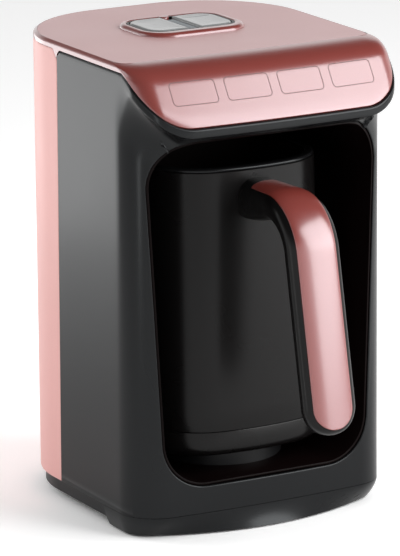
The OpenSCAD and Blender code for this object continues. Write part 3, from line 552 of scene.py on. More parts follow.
def build_cover():
    """Cover as one closed shell: bed for the plate, ridge and nose, lower edge, inner wall and cap."""
    rings = [at_height(hole_ring(plate_ring(0), TUB_HOLE), BED_Z),
             at_height(plate_ring(0), BED_Z), at_height(plate_ring(0), BODY_H)]
    rings += [[cover_point(s, f) for s in ALL_STATIONS] for f in COVER_ROWS]
    for f in (0.0, 0.3, 0.6, 1.0):
        rings.append([behind_nose(s, lerp(min(CAP_Z - 0.2, edge_z(s)), CAP_Z, f), WALL, REAR_MID_Y)
                      for s in ALL_STATIONS])
    rings.append(at_height(hole_ring(plate_ring(0), TUB_HOLE), CAP_Z))
    make("top_cover_shell", skin(rings, close_rows=True), "machine", "rose_copper", "top_cover")


def build_plate():
    """Plate with a small chamfer; the flat rings inside its edges keep the shading level."""
    rings = []
    for gap, z in ((PLATE_GAP, PLATE_LIFT - PLATE_T), (PLATE_GAP, -PLATE_CHAMFER),
                   (PLATE_GAP + PLATE_CHAMFER, 0.0), (GAP + 0.6, 0.0), (GAP + 1.6, 0.0)):
        rings.append(at_height(plate_ring(gap), BODY_H + z))
    for grow, z in ((TUB_WALL + 1.5, 0.0), (TUB_HOLE, 0.0), (TUB_HOLE, PLATE_LIFT - PLATE_T)):
        rings.append(at_height(hole_ring(plate_ring(GAP), grow), BODY_H + z))
    make("top_plate_sheet", skin(rings, close_rows=True), "machine", "rose_plate", "top_plate")


SWEEP_ROWS = [0, 0.08, 0.16, 0.24, 0.32, 0.4, 0.48, 0.55, 0.62, 0.68, 0.74, 0.79, 0.83, 0.87, 0.9, 0.925,
              0.945, 0.962, 0.975, 0.986, 0.994]
WALL_ROWS = evenly(0, 1, 40) + [1 + t for t in SWEEP_ROWS]


def lip_out(s):
    """The lip stands out from the cover, but no further than the casing's side."""
    room = side_distance(s)
    if room <= 0:
        return 0.0
    return LIP_PROUD if room >= NOSE_R else min(LIP_PROUD, room * NOSE_R / (NOSE_R - room))


def housing_point(s, w):
    """A point of the front housing: w is 0 at its foot, 1 where the sweep starts, 2 at the lip."""
    bottom = edge_z(s)
    lip_z, foot = bottom - LIP_H, bottom - LIP_H - SWEEP_H
    t = max(0.0, w - 1)
    z = lerp(SKIRT_Z, foot, w) if w < 1 else lerp(foot, lip_z, t)
    bulge = 1 - sqrt(max(0.0, 1 - t * t))
    out = lip_out(s)
    lip_front = nose_front(bottom) - PANEL_SLOPE * out
    return *plan_at(s, HALF_W + out * bulge, lerp(-FRONT_REACH, lip_front, bulge),
                    lerp(FRONT_R, NOSE_R + out, bulge), FRONT_BOW, seam_at(z)), z


# Rows of the lip, from its foot to inside the cover: height below the cover's edge, and how far the
# wall is rolled in there, on the nose and along the sides.
LIP_SHAPE = ((4.75, 0.15, 0.0), (4.3, 0.0, 0.0), (3.4, 0.0, 0.0), (2.6, 0.0, 0.0), (2.0, 0.0, 0.06),
             (1.4, 0.0, 0.25), (0.9, 0.08, 0.55), (0.5, 0.3, 0.95), (0.25, 0.65, 1.45), (0.15, 1.1, 2.0),
             (0.15, 2.4, 2.4))


def lip_rows(s):
    """The lip above the sweep: rounded under and over on the nose, rolled in along the sides."""
    bottom, out = edge_z(s), lip_out(s)
    lip_front = nose_front(bottom) - PANEL_SLOPE * out
    nose = smooth_step(side_distance(s) / LIP_BLEND)
    rows = []
    for below, on_nose, on_side in LIP_SHAPE:
        inset = lerp(on_side, on_nose, nose)
        x, y = plan_at(s, HALF_W + out - inset, lip_front + inset, NOSE_R + out - inset, FRONT_BOW,
                       seam_at(bottom - below))
        top = bottom
        if s[0] in (LEFT, RIGHT) and y > TAB_MID:
            top = min(RIM_Z, tab_arc(y, TAB_R) + GAP)
        rows.append((x, y, lerp(bottom - LIP_H, top, 1 - below / LIP_H)))
    return rows


def face_station(v):
    """Station at place v in FACE_STATIONS, where v need not be whole."""
    k = int(clamp(v, 0, FACE_END - 1))
    (kind, t), (next_kind, next_t) = FACE_STATIONS[k], FACE_STATIONS[k + 1]
    return kind, lerp(t, next_t if next_kind == kind else 1.0, v - k)


def row_at(s, z):
    """Row value of the housing at station s and height z."""
    foot = edge_z(s) - LIP_H - SWEEP_H
    return (z - SKIRT_Z) / (foot - SKIRT_Z) if z < foot else 1 + (z - foot) / SWEEP_H


def front_point(x, z):
    """Place in FACE_STATIONS and row value of the housing's face at (x, z) in front view."""
    low, high = 0.0, float(FACE_END)
    for _ in range(24):
        v = (low + high) / 2
        s = face_station(v)
        if housing_point(s, row_at(s, z))[0] < x:
            low = v
        else:
            high = v
    return v, row_at(face_station(v), z)


def niche_outline(grow=0.0, steps=400):
    """Closed outline of the niche in front view, anticlockwise from the right."""
    low, high = NICHE_LOW - NICHE_R, NICHE_HIGH - NICHE_R
    z_low, z_high = NICHE_Z + NICHE_R, NICHE_TOP - NICHE_R
    lean = atan((high - low) / (z_high - z_low))
    arcs = ((high, z_high, -lean, pi / 2), (-high, z_high, pi / 2, pi + lean),
            (-low, z_low, pi + lean, pi * 1.5), (low, z_low, pi * 1.5, pi * 2 - lean))
    return np.array([on_circle(x, z, NICHE_R + grow, a) for x, z, start, end in arcs
                     for a in evenly(start, end, steps, last=True)])


# The rounded edge of the niche's mouth, from inside: depth behind the face and growth of the outline.
FILLET = 0.9
MOUTH_SHAPE = ((WALL, 0.0), (FILLET, 0.0), (0.55 * FILLET, 0.06 * FILLET), (0.3 * FILLET, 0.2 * FILLET),
               (0.12 * FILLET, 0.42 * FILLET), (0.03 * FILLET, 0.7 * FILLET))
# How far the face's rings are from the mouth to the outer loop.
FACE_SHARES = (0.0, 0.02, 0.045, 0.075, 0.11, 0.15, 0.19, 0.23, 0.27, 0.31, 0.36, 0.41, 0.46, 0.51, 0.56,
               0.61, 0.66, 0.71, 0.76, 0.81, 0.86, 0.9, 0.935, 0.965, 0.985, 1.0)
HOUSING_SKIN = 1.2


def niche_spots(loop):
    """The niche's edge in line with each point of the loop, and the direction out of it."""
    outline = niche_outline()
    middle = (NICHE_Z + NICHE_TOP) / 2
    angles = np.unwrap(np.arctan2(outline[:, 1] - middle, outline[:, 0]))
    spots = []
    for v, w in loop:
        x, _, z = housing_point(face_station(v), w)
        a = atan2(z - middle, x)
        while a < angles[0]:
            a += 2 * pi
        k = int(np.searchsorted(angles, a)) % len(outline)
        j = k - 1
        share = (a - angles[j]) / (angles[k] - angles[j]) if angles[k] > angles[j] else 0.0
        x_step, z_step = outline[k] - outline[j]
        length = hypot(x_step, z_step)
        out = np.array([z_step, -x_step]) / length if length > TINY else np.array([1.0, 0.0])
        spots.append((lerp(outline[j], outline[k], share), out))
    return spots


def build_housing():
    """Front housing: side columns as a grid, and the face as a grid that runs out from the niche."""
    points, faces = [], []

    def add(rows, closed=False):
        faces.extend(grid_faces(len(rows), len(rows[0]), closed, start=len(points)))
        points.extend(p for row in rows for p in row)

    left = LEFT_SIDE + LEFT_CORNER[:CORNER_CUT + 1]
    right = RIGHT_CORNER[CORNER_STEPS - CORNER_CUT:] + RIGHT_SIDE
    for columns in (left, right):
        add([[housing_point(s, w) for s in columns] for w in WALL_ROWS])
    for columns in (left, FACE_STATIONS, right):
        lips = [lip_rows(s) for s in columns]
        add([[housing_point(s, WALL_ROWS[-1]) for s in columns]]
            + [[lip[k] for lip in lips] for k in range(len(LIP_SHAPE))])
    # The face: an outer loop in station and row values, and rings that shrink onto the niche.
    loop = [(FACE_END, w) for w in WALL_ROWS]
    loop += [(v, WALL_ROWS[-1]) for v in range(FACE_END - 1, 0, -1)]
    loop += [(0, w) for w in reversed(WALL_ROWS)]
    loop += [(v, 0.0) for v in range(1, FACE_END)]
    spots = niche_spots(loop)

    def on_face(grow):
        return [front_point(*(spot + out * (grow + LINER_T + GAP))) for spot, out in spots]

    rings = []
    for depth, grow in MOUTH_SHAPE:
        ring = [housing_point(face_station(v), w) for v, w in on_face(grow)]
        rings.append([(x, y + depth, z) for x, y, z in ring])
    starts = on_face(FILLET)
    for share in FACE_SHARES:
        rings.append([housing_point(face_station(lerp(a[0], b[0], share)), lerp(a[1], b[1], share))
                      for a, b in zip(starts, loop)])
    add(rings, closed=True)
    piece = make("front_housing_shell", (points, faces), "machine", "black_gloss", "front_housing",
                 sharp=50)
    thicken(piece, HOUSING_SKIN)


def face_y(x, z):
    """How far forward the housing's face lies at (x, z)."""
    v, w = front_point(x, z)
    return housing_point(face_station(v), w)[1]


def build_liner():
    """Niche liner: a deep cup with a softened mouth and a round at its rear wall."""
    def ring(grow, depth=None, y=None):
        return [(x, face_y(x, z) + depth if y is None else y, z) for x, z in niche_outline(grow, 60)]

    inner_back = NICHE_BACK - LINER_T
    rings = [ring(LINER_T, y=NICHE_BACK), ring(LINER_T, depth=LINER_SETBACK + 0.5),
             ring(LINER_T - 0.2, depth=LINER_SETBACK + 0.1), ring(LINER_T - 0.6, depth=LINER_SETBACK),
             ring(0.5, depth=LINER_SETBACK), ring(0.15, depth=LINER_SETBACK + 0.15),
             ring(0.0, depth=LINER_SETBACK + 0.6)]
    mouth = rings[-1]
    for share in (0.25, 0.5, 0.75, 1.0):
        rings.append([(x, lerp(y, inner_back - LINER_ROUND, share), z) for x, y, z in mouth])
    for turn in map(radians, (15, 30, 45, 60, 75, 90)):
        rings.append(ring(-LINER_ROUND * (1 - cos(turn)), y=inner_back - LINER_ROUND * (1 - sin(turn))))
    # The liner's finish carries painted shade: it is darker and redder than the other black mouldings.
    make("niche_liner_shell", skin(rings), "machine", "black_matt", "niche_liner", NICHE_SHADED_BLACK, sharp=50)


# Profiles of the rear shell's foot and upper edge (inset, distance from the edge), how far its stations
# lie behind the seam, and the roll of its edge there.
SHELL_FOOT = ((WALL, 0.0), (0.5, 0.0), (0.1, 0.2), (0.0, 0.7))
SHELL_TOP_EDGE = ((0.0, 2.6), (0.0, 1.4), (0.06, 0.7), (0.3, 0.25), (0.8, 0.0), (WALL, 0.0))
SEAM_STEPS = (0.0, 0.15, 0.4, 0.8, 1.3, 1.9, 2.5, 3.1, 3.7, 4.3, 4.9, 5.6, 7, 9.5)
SEAM_ROLL, SEAM_ROLL_REACH = 0.4, 0.8
FAR_BACK = 99.0


def build_rear_shell():
    """Rear shell as one closed wall, with softened edges at the seam, the foot and under the cover."""
    heights = evenly(SKIRT_Z + 4, TAB_LOW - 4, 12, last=True)
    back = TAB_SEAM + GAP

    def ring(inset, height):
        left = []
        for step in SEAM_STEPS:
            z = height(back + step)
            roll = SEAM_ROLL * max(0.0, 1 - step / SEAM_ROLL_REACH) ** 2 if inset < WALL else 0.0
            left.append((-HALF_W + inset + roll, seam_at(z) + GAP + step, z))
        rear = []
        for kind in (BACK_LEFT, BACK_RIGHT):
            for s in reversed(stretch(kind, REAR_STEPS, last=True)):
                rear.append((*plan_at(s, HALF_W - inset, 0, FRONT_R, FRONT_BOW, 0), height(FAR_BACK)))
        return left + rear + mirrored(left)

    def top_at(y):
        return min(RIM_Z - GAP, tab_line(y, back))

    rings = [ring(inset, lambda y, z=SKIRT_Z + up: z) for inset, up in SHELL_FOOT]
    rings += [ring(0.0, lambda y, z=z: z) for z in heights]
    rings += [ring(inset, lambda y, d=below: top_at(y) - d) for inset, below in SHELL_TOP_EDGE]
    rings += [ring(WALL, lambda y, z=z: z) for z in reversed(heights)]
    make("rear_shell_skin", strip(rings), "machine", "rose_shell", "rear_shell")


SKIRT_STATIONS = LEFT_CORNER + stretch(FRONT, FRONT_STEPS) + RIGHT_CORNER + [(FRONT_RIGHT, 1.0)]
SKIRT_PROUD, SKIRT_SKIN, SKIRT_ROWS = 0.05, 0.8, 16


def build_skirt():
    """Fine skin just outside the base plate's undercut skirt, whose solid has coarser faces."""
    def ring(t, inset):
        u = 1 - (1 - t) ** SKIRT_POWER
        half = min(HALF_W, lerp(HALF_W - FOOT_IN, HALF_W, u) - inset)
        front = lerp(-FRONT_REACH - FOOT_OUT, -FRONT_REACH, u) + inset
        face = [plan_at(s, half, front, lerp(FOOT_R, FRONT_R, u) - inset, lerp(FOOT_BOW, FRONT_BOW, u), 0)
                for s in SKIRT_STATIONS]
        side = [(face[0][0], y) for y in evenly(SKIRT_BACK, face[0][1], 8)]
        return at_height(side + face + mirrored(side), lerp(FOOT_Z + 0.03, SKIRT_Z - GAP, t))

    rows = evenly(0, 1, SKIRT_ROWS, last=True)
    rings = [ring(t, -SKIRT_PROUD) for t in rows] + [ring(t, SKIRT_SKIN) for t in reversed(rows)]
    make("base_skirt_skin", strip(rings), "machine", "black_matt", finish=FINISHES["black_gloss"], sharp=50)


# ---- keys and panel
# The ring's inner edge: distance from it, and depth below the ring's top.
BEZEL_LIP = ((0.9, 0.0), (0.45, 0.06), (0.15, 0.22), (0.0, 0.5))


def build_bezel():
    """Raised ring round the keys, with the small tab that fills the notch at the back."""
    turns = evenly(0, 2 * pi, 720)
    margin = BEZEL_FRONT - BEZEL_EXTRA
    grow = TUB_WALL + margin
    outer = np.array(cluster_ring(turns, grow, d=CLUSTER_D + BEZEL_EXTRA, r=BEZEL_R - grow,
                                  y_mid=KEYS_Y - BEZEL_EXTRA / 2))
    inner = np.array(cluster_ring(turns, TUB_WALL + GAP, notch=NOTCH_R - GAP))
    high = KEY_RISE - BEZEL_LOWER
    width = np.hypot(*(outer - inner).T)
    rings = [at_height(outer, BODY_H)]
    for turn in map(radians, (10, 22, 34, 46, 58, 70, 80, 90)):
        share = (BEZEL_ROUND * (1 - cos(turn)) / width)[:, None]
        rings.append(at_height(lerp(outer, inner, share), BODY_H + high * sin(turn)))
    for off, drop in (*BEZEL_LIP, (0.0, high)):
        rings.append(at_height(lerp(inner, outer, (off / width)[:, None]), BODY_H + high - drop))
    make("button_bezel_ring", skin(rings, close_rows=True), "machine", "rose_copper", "button_bezel",
         sharp=50)


MIN_R = 0.12


def rounded_ring(half_x, half_y, radii, inset, z, mid=(0.0, 0.0), steps=12, side_points=10):
    """Rounded rectangle with a radius for each corner, anticlockwise from the upper right."""
    ring = []
    for k in range(4):
        arc, next_arc = (corner_arc(j, half_x - inset, half_y - inset, max(MIN_R, radii[j % 4] - inset),
                                    steps) for j in (k, k + 1))
        xs, ys = (evenly(p, q, side_points)[1:] for p, q in zip(arc[-1], next_arc[0]))
        ring += [*arc, *zip(xs, ys)]
    return [(x + mid[0], y + mid[1], z) for x, y in ring]


# Profile of a key from its foot over the edge and down into the dish: inset, and depth below its top.
KEY_SHAPE = ((0.6, KEY_H), (0.0, KEY_H - 0.3), (0.0, 1.1), (0.08, 0.7), (0.25, 0.4), (0.55, 0.15),
             (0.95, 0.03), (1.4, 0.0), (2.4, 0.05), (3.8, 0.14), (5.6, 0.22), (7.6, 0.27), (9.6, 0.29))
INNER_R = 1.0
MARK_W, MARK_D, MARK_DEPTH, MARK_R, MARK_SHIFT, MARK_BACK = KEY_W - 5, 0.8, 0.55, 0.35, 0.4, 7.5


def build_key(name, side):
    """Key cap: softened edge, shallow dish; the right one has a sunk line near its back."""
    radii = [KEY_R, INNER_R, INNER_R, KEY_R] if side > 0 else [INNER_R, KEY_R, KEY_R, INNER_R]
    rings = [rounded_ring(KEY_W / 2, KEY_D / 2, radii, inset, KEY_TOP - drop, (side * KEY_X, KEYS_Y))
             for inset, drop in KEY_SHAPE]
    piece = make(name + "_cap", skin(rings), name, "key_grey", name, sharp=40)
    if side > 0:
        line = rounded_ring(MARK_W / 2, MARK_D / 2, [MARK_R] * 4, 0, KEY_TOP - MARK_DEPTH,
                            (KEY_X - MARK_SHIFT, KEYS_Y + KEY_D / 2 - MARK_BACK), 4, 2)
        cut(piece, [line, [(x, y, KEY_TOP + 1) for x, y, _ in line]])


def cut(piece, rings):
    """Cuts a closed prism out of a piece."""
    cutter = solid_from("cutter", skin(rings), weld=False)
    step = piece.modifiers.new("cut", "BOOLEAN")
    step.operation = "DIFFERENCE"
    step.solver = "EXACT"
    step.object = cutter
    bake_modifiers(piece)
    bpy.data.objects.remove(cutter)
    piece.data.set_sharp_from_angle(angle=radians(30))


def build_divider():
    """Bar between the keys, slightly crowned and lower than they are."""
    half_x, half_y = KEY_GAP / 2 - KEY_CLEAR, (CLUSTER_D - BAR_SHORTER) / 2
    y_mid = KEYS_Y - CLUSTER_D / 2 + BAR_FRONT + half_y
    top, low = KEY_TOP - BAR_LOWER, span("key_divider")[0][2]
    rings = [rounded_ring(half_x, half_y, [0.6] * 4, inset, z, (0.0, y_mid), 5, 3) for inset, z in
             ((0.0, low), (0.0, top - 0.7), (0.1, top - 0.35), (0.35, top - 0.1), (0.75, top),
              (1.8, top + 0.12), (2.8, top + 0.15))]
    make("key_divider_bar", skin(rings), "machine", "bar_grey", "key_divider")


def build_boxes():
    """Four bare outlined boxes printed on the sloping panel."""
    z_mid = (BOX_TOP + BOX_LOW) / 2
    half_v = (BOX_TOP - BOX_LOW) / 2 * PANEL_SLOPE
    _, x_end = front_end(HALF_W, NOSE_R, FRONT_BOW)
    for k in range(4):
        x_mid = (k - 1.5) * BOX_PITCH

        def loop(inset, lift):
            spots = []
            for x, v, _ in rounded_ring(BOX_W / 2, half_v, [BOX_R] * 4, inset, 0.0, steps=10,
                                        side_points=16):
                z = z_mid + v / PANEL_SLOPE
                y = nose_front(z) + FRONT_BOW * ((x + x_mid) / x_end) ** 2
                spots.append((x + x_mid, y - lift / PANEL_SLOPE, z + lift * PANEL_RUN / PANEL_SLOPE))
            return spots

        rings = [loop(inset, lift) for inset, lift in ((0.0, LINE_SUNK), (0.0, LINE_PROUD),
                                                       (LINE_W, LINE_PROUD), (LINE_W, LINE_SUNK))]
        make(f"panel_box_{k + 1}", skin(rings, close_rows=True), "machine", "black_matt", finish=PRINT)


# ---- pot
def pot_ring(z, inset):
    """The pot's outline at height z: a rounded square whose faces are shallow arcs."""
    shrink = inset + POT_TAPER / 2 * (z - POT_Z) / POT_H
    half, depth = POT_W / 2 - shrink, POT_D / 2 - shrink
    r, face_r = POT_R - inset, POT_FACE_R - inset
    a, b = face_r - half, face_r - depth
    gap, q = hypot(a, b), face_r - r
    reach = sqrt(q * q - gap * gap / 4)
    cx, cy = b / gap * reach - a / 2, a / gap * reach - b / 2
    side, end = asin(cy / q), pi / 2 - asin(cx / q)

    def arc(x, y, radius, start, stop, count):
        return [on_circle(x, y, radius, turn) for turn in evenly(start, stop, count)]

    quarter = (arc(-a, 0.0, face_r, 0, side, 8) + arc(cx, cy, r, side, end, 24)
               + arc(0.0, -b, face_r, end, pi / 2, 8))
    half_ring = quarter + [(0.0, depth)] + mirrored(quarter[1:])
    return [(x, y - POT_Y, z) for x, y in half_ring + [(-x, -y) for x, y in half_ring]]


def round_rings(z, inset, r):
    """Rings that follow a quarter round of radius r, from its flat bottom up to its upright side."""
    return [pot_ring(z + r * (1 - cos(a)), inset + r * (1 - sin(a)))
            for a in evenly(0, pi / 2, 8, last=True)]


def build_pot():
    """Pot: shell, ring at its foot, coat of the cup and the rolled rim."""
    def rows(*spots):
        return [pot_ring(z, inset) for z, inset in spots]

    low, high = RING_TOP, SHELL_TOP
    rings = rows((low, POT_WALL), (low, 0.45), (low + 0.12, 0.15), (low + 0.45, 0))
    rings += rows(*((z, 0) for z in evenly(low, high, 12)[1:]), (high - 0.3, 0), (high, 0.25),
                  (high, POT_WALL))
    make("pot_shell_skin", skin(rings, close_rows=True), "pot", "black_gloss", "pot_shell", BLACK_SATIN)

    lip, wall, outer_round, inner_round = POT_WALL + 0.2, 1.2, 6, 5
    foot, top, lip_top = POT_Z + 0.2, RING_TOP - GAP, RING_TOP + 3
    rings = round_rings(foot, 0, outer_round)
    rings += rows((top - 0.45, 0), (top - 0.12, 0.12), (top, 0.45), (top, lip), (lip_top, lip),
                  (lip_top, lip + wall))
    rings += reversed(round_rings(foot + wall, lip + wall, inner_round))
    make("pot_base_ring_skin", skin(rings), "pot", "black_gloss", "pot_base_ring", BLACK_SATIN)

    floor = POT_Z + SOLE_T
    rings = round_rings(floor, CUP_IN, CUP_ROUND)
    rings += rows((RIM_TOP - 2.4, CUP_IN), (RIM_TOP - 2.0, CUP_IN + CUP_T))
    rings += reversed(round_rings(floor + CUP_T, CUP_IN + CUP_T, CUP_ROUND - CUP_T))
    make("pot_cup_coat", skin(rings), "pot", "black_matt", "pot_cup", CUP_COAT)

    outer, inner = 0.3, CUP_IN + 0.6
    rings = rows((SHELL_TOP + 0.15, CUP_IN - 0.6), (SHELL_TOP + 0.15, outer + 0.3))
    rings += rows(*((SHELL_TOP + 0.6 + 1.4 * sin(turn), outer + 1.2 * (1 - cos(turn)))
                    for turn in map(radians, (0, 20, 40, 60, 80, 90))))
    rings += rows(*((RIM_TOP - 1.0 + 1.0 * sin(turn), inner - 1.0 * (1 - cos(turn)))
                    for turn in map(radians, (90, 70, 50, 30, 10))))
    make("pot_rim_roll", skin(rings, close_rows=True), "pot", "black_gloss", "pot_cup", sharp=50)


# ---- handle
POT_FRONT = POT_Y + POT_D / 2 - POT_TAPER / 2
HANDLE_Z = RIM_TOP - HANDLE_DROP
RUN_L = ROOT_IN + HANDLE_RUN
BEND_L = BEND_R * BEND_ANGLE
BEND_END = RUN_L + BEND_L
HANDLE_L = BEND_END + GRIP_L
INSERT_FROM, INSERT_TO = ROOT_IN + 9, HANDLE_L - 3


def end_factor(left, r):
    return 1.0 if left >= r else sqrt(max(0.0, 1 - (1 - left / r) ** 2))


def full_width(s):
    return lerp(ROOT_W, HANDLE_W, sin(pi / 2 * min(1.0, s / (RUN_L + BEND_L / 2))) ** 2)


def half_width(s):
    return full_width(s) / 2 * end_factor(HANDLE_L - s, HANDLE_W / 2)


def half_thick(s):
    u = clamp((s - RUN_L) / BEND_L)
    if s < RUN_L:
        return lerp(ROOT_T, GRIP_T + BEND_SWELL, (s / RUN_L) ** 2) / 2
    return (GRIP_T + BEND_SWELL * (1 - u) ** 2) / 2


def handle_point(s, x, up):
    """A point at distance x from the middle and up above the centre line, s along the outer line."""
    turned = 0.0 if s < RUN_L else min(BEND_ANGLE, (s - RUN_L) / BEND_R)
    beyond, before = max(0.0, s - BEND_END), max(0.0, RUN_L - s)
    y = -POT_FRONT - HANDLE_RUN + before - BEND_R * sin(turned) - beyond * cos(turned)
    z = HANDLE_Z - BEND_R + BEND_R * cos(turned) - beyond * sin(turned)
    n = up - half_thick(s)
    return x, y - n * sin(turned), z + n * cos(turned)


def crowned(thick, ratio):
    """Height of the outer face at a share of the half width from its middle."""
    return thick * (1 - min(1.0, ratio) ** FACE_CROWN) ** (1 / FACE_CROWN)


def insert_half(s, grow):
    """Half width of the insert at s, or 0 beyond its ends."""
    r, start, stop = INSERT_W / 2 + grow, INSERT_FROM - grow, INSERT_TO + grow
    if s <= start or s >= stop:
        return 0.0
    narrowed = full_width(s) / HANDLE_W * r - INSERT_CORNER * (1 - end_factor(s - start, INSERT_CORNER))
    return narrowed * end_factor(stop - s, r)


def handle_section(s):
    """One ring of the handle, with the recess for the insert let into its outer face."""
    wide, thick = half_width(s), half_thick(s) * end_factor(HANDLE_L - s, END_SOFT)
    edge = min(insert_half(s, RECESS_CLEAR), 0.98 * wide)
    depth = RECESS if edge > 0.3 else 0.0
    split = acos(clamp((edge / wide) ** (FACE_CROWN / 2)))

    def oval(a, crown):
        x, up = (copysign(abs(v) ** (2 / crown), v) for v in (cos(a), sin(a)))
        return wide * x, thick * up

    right = [oval(a, FACE_CROWN) for a in evenly(0, split, 14, last=True)]
    across = [(x, crowned(thick, abs(x) / wide) - depth) for x in evenly(edge, -edge, 18, last=True)]
    back = [oval(a, BACK_CROWN) for a in evenly(pi, 2 * pi, 28)[1:]]
    return [handle_point(s, x, up) for x, up in right + across + mirrored(right) + back]


def build_handle():
    """Handle, with more sections where the recess starts and ends and towards its round tip."""
    tip, edge_step, hidden = 16, 0.02, 2.5
    stations = evenly(0, RUN_L, 16) + evenly(RUN_L, BEND_END, 32) + evenly(BEND_END, HANDLE_L - tip, 20)
    stations += [HANDLE_L - tip + tip * sin(a) for a in evenly(0, pi / 2, 40, last=True)]
    for edge in (INSERT_FROM - RECESS_CLEAR, INSERT_TO + RECESS_CLEAR):
        inward = copysign(1, HANDLE_L / 2 - edge)
        stations += [edge + step for step in (-edge_step, edge_step, 0.3 * inward, 0.8 * inward)]
    stations = sorted(s for s in stations if hidden <= s <= HANDLE_L - edge_step)
    make("pot_handle_grip", skin([handle_section(s) for s in stations]), "pot", "black_gloss",
         "pot_handle", BLACK_SATIN, sharp=40)


# Profile of the insert's edge: inset and depth below its face.
INSERT_EDGE = ((0.0, 1.1), (0.0, 0.42), (0.06, 0.2), (0.2, 0.06), (0.45, 0.0))
END_DROP, END_REACH = 0.42, 0.45


def build_insert():
    """Copper-rose strip on the handle's outer face, with softened edges."""
    tip = INSERT_W / 2
    spots = [INSERT_FROM + d for d in (0.0, 0.08, 0.2, 0.4, 0.7, 1.1, 1.5, 2.5)]
    spots += evenly(INSERT_FROM + 4, BEND_END, 40) + evenly(BEND_END, INSERT_TO - tip, 20)
    spots += [INSERT_TO - tip + tip * sin(a) for a in evenly(0, pi / 2, 30, last=True)]
    rings = []
    for s in spots:
        half = max(0.05, insert_half(clamp(s, INSERT_FROM + 0.01, INSERT_TO - 0.004), 0.0))
        near_end = min(s - INSERT_FROM, INSERT_TO - s)
        side = [(max(0.0, half - inset), drop) for inset, drop in INSERT_EDGE]
        top = [(x, 0.0) for x in evenly(side[-1][0], -side[-1][0], 16)[1:]]
        end_drop = END_DROP * max(0.0, 1 - near_end / END_REACH) ** 2
        rings.append([handle_point(s, x, crowned(half_thick(s), 2 * abs(x) / full_width(s))
                                   + INSERT_PROUD - max(drop, end_drop))
                      for x, drop in side + top + mirrored(side)])
    make("handle_insert_strip", skin(rings), "pot", "rose_copper", "handle_insert", sharp=60)


# ---- scene
FLOOR_TONE, FLOOR_SEEN, FLOOR_SIDE = 0.86, 1.18, 6.0
WORLD_FILL = 0.6
CEILING, CEILING_LOW, CEILING_HIGH = 0.03, 0.25, 0.52


def build_stage():
    """White floor that keeps the object's shadow; the camera sees it as light as the background."""
    mesh = bpy.data.meshes.new("floor")
    mesh.from_pydata([(x * FLOOR_SIDE, y * FLOOR_SIDE, 0) for x, y in CORNERS], [], [(0, 1, 2, 3)])
    floor = add_object("floor", mesh)
    mat = bpy.data.materials.new("studio_floor")
    mat.use_nodes = True
    tree = mat.node_tree
    shader = tree.nodes["Principled BSDF"].inputs
    shader["Roughness"].default_value = 0.95
    shader["Specular IOR Level"].default_value = 0.0
    path = add_node(tree, "LightPath").outputs
    tone = add_node(tree, "Mix", {"A": (*[FLOOR_TONE] * 3, 1), "B": (*[FLOOR_SEEN] * 3, 1),
                                  "Factor": path["Is Camera Ray"]}, data_type="RGBA")
    tree.links.new(tone.outputs["Result"], shader["Base Color"])
    mesh.materials.append(mat)


def build_world():
    """White backdrop, seen by the camera and in gloss and glass, under a darker studio ceiling."""
    world = bpy.data.worlds.new("studio")
    bpy.context.scene.world = world
    world.use_nodes = True
    tree = world.node_tree
    back = tree.nodes["Background"].inputs
    back["Color"].default_value = (1, 1, 1, 1)
    path = add_node(tree, "LightPath").outputs
    where = add_node(tree, "TexCoord").outputs["Generated"]
    height = add_node(tree, "SeparateXYZ", {"Vector": where}).outputs["Z"]
    ceiling = add_node(tree, "MapRange", {"From Min": CEILING_LOW, "From Max": CEILING_HIGH, "To Min": 1.0,
                                          "To Max": CEILING, "Value": height},
                       interpolation_type="SMOOTHSTEP").outputs["Result"]

    def join(operation, a, b):
        return add_node(tree, "Math", {0: a, 1: b}, operation=operation).outputs["Value"]

    mirrored = join("MAXIMUM", path["Is Glossy Ray"], path["Is Transmission Ray"])
    seen = join("MAXIMUM", join("MULTIPLY", mirrored, ceiling), path["Is Camera Ray"])
    fill = join("MULTIPLY", join("SUBTRACT", 1.0, mirrored), WORLD_FILL)
    tree.links.new(join("MAXIMUM", seen, fill), back["Strength"])


AIM_Z = 0.14


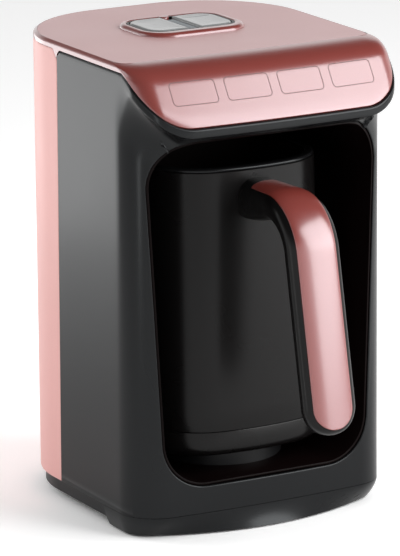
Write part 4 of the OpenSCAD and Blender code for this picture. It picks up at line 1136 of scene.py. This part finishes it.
def softbox(name, direction, distance, height, size, radiance):
    """Area lamp at a compass direction from the machine, turned towards it; radiance 1 is white."""
    level = hypot(*direction)
    x, y = (d / level * distance for d in direction)
    data = bpy.data.lights.new(name, "AREA")
    data.shape = "RECTANGLE"
    data.size, data.size_y = size
    data.energy = radiance * pi * size[0] * size[1]
    lamp = add_object(name, data)
    lamp.visible_camera = False
    lamp.location = (x, y + AXIS_Y * MM, height)
    aim = Vector((0, AXIS_Y * MM, AIM_Z)) - lamp.location
    lamp.rotation_euler = aim.to_track_quat("-Z", "Y").to_euler()


def build_lights():
    softbox("key_front_right", (0.62, -0.75), 1.30, 0.75, (1.15, 1.25), 5.4)
    softbox("side_card", (-0.47, 0.85), 0.62, 0.17, (0.60, 0.33), 2.4)
    softbox("corner_strip", (-0.88, -0.47), 0.75, 0.16, (0.07, 0.30), 4.0)
    softbox("back_left", (-0.6, 0.5), 1.5, 1.2, (0.9, 0.7), 2.0)


# Camera fitted to the photograph's outlines: angles, focal length in pixels, and millimetres.
AZIMUTH, ELEVATION, ROLL = radians(-29.068), radians(14.433), radians(0.499)
FOCAL_PX, SHIFT_X, SHIFT_Z, DISTANCE, GROUND = 4461.23, 2.673, 109.421, 2451.758, 5.5
IMAGE_H, SENSOR = 556, 36


def build_camera():
    back = Vector((sin(AZIMUTH) * cos(ELEVATION), -cos(AZIMUTH) * cos(ELEVATION),
                   sin(ELEVATION)))
    right = Vector((cos(AZIMUTH), sin(AZIMUTH), 0))
    up = back.cross(right)
    spot = right * SHIFT_X + up * SHIFT_Z + back * DISTANCE + Vector((0, AXIS_Y, GROUND))
    right_rolled = right * cos(ROLL) - up * sin(ROLL)
    up_rolled = right * sin(ROLL) + up * cos(ROLL)
    data = bpy.data.cameras.new("camera")
    data.sensor_fit = "VERTICAL"
    data.sensor_height = SENSOR
    data.lens = SENSOR * FOCAL_PX / IMAGE_H
    data.clip_end = 50
    camera = add_object("camera", data)
    turn = Matrix((right_rolled, up_rolled, back)).transposed().to_4x4()
    camera.matrix_world = Matrix.Translation(spot * MM) @ turn
    bpy.context.scene.camera = camera


build_camera()
build_stage()
build_world()
build_lights()
finish_cad_nodes()
build_cover()
build_plate()
build_housing()
build_liner()
build_rear_shell()
build_skirt()
build_bezel()
build_key("left_key", -1)
build_key("right_key", 1)
build_divider()
build_boxes()
build_pot()
build_handle()
build_insert()
bpy.context.scene.view_settings.view_transform = "Standard"
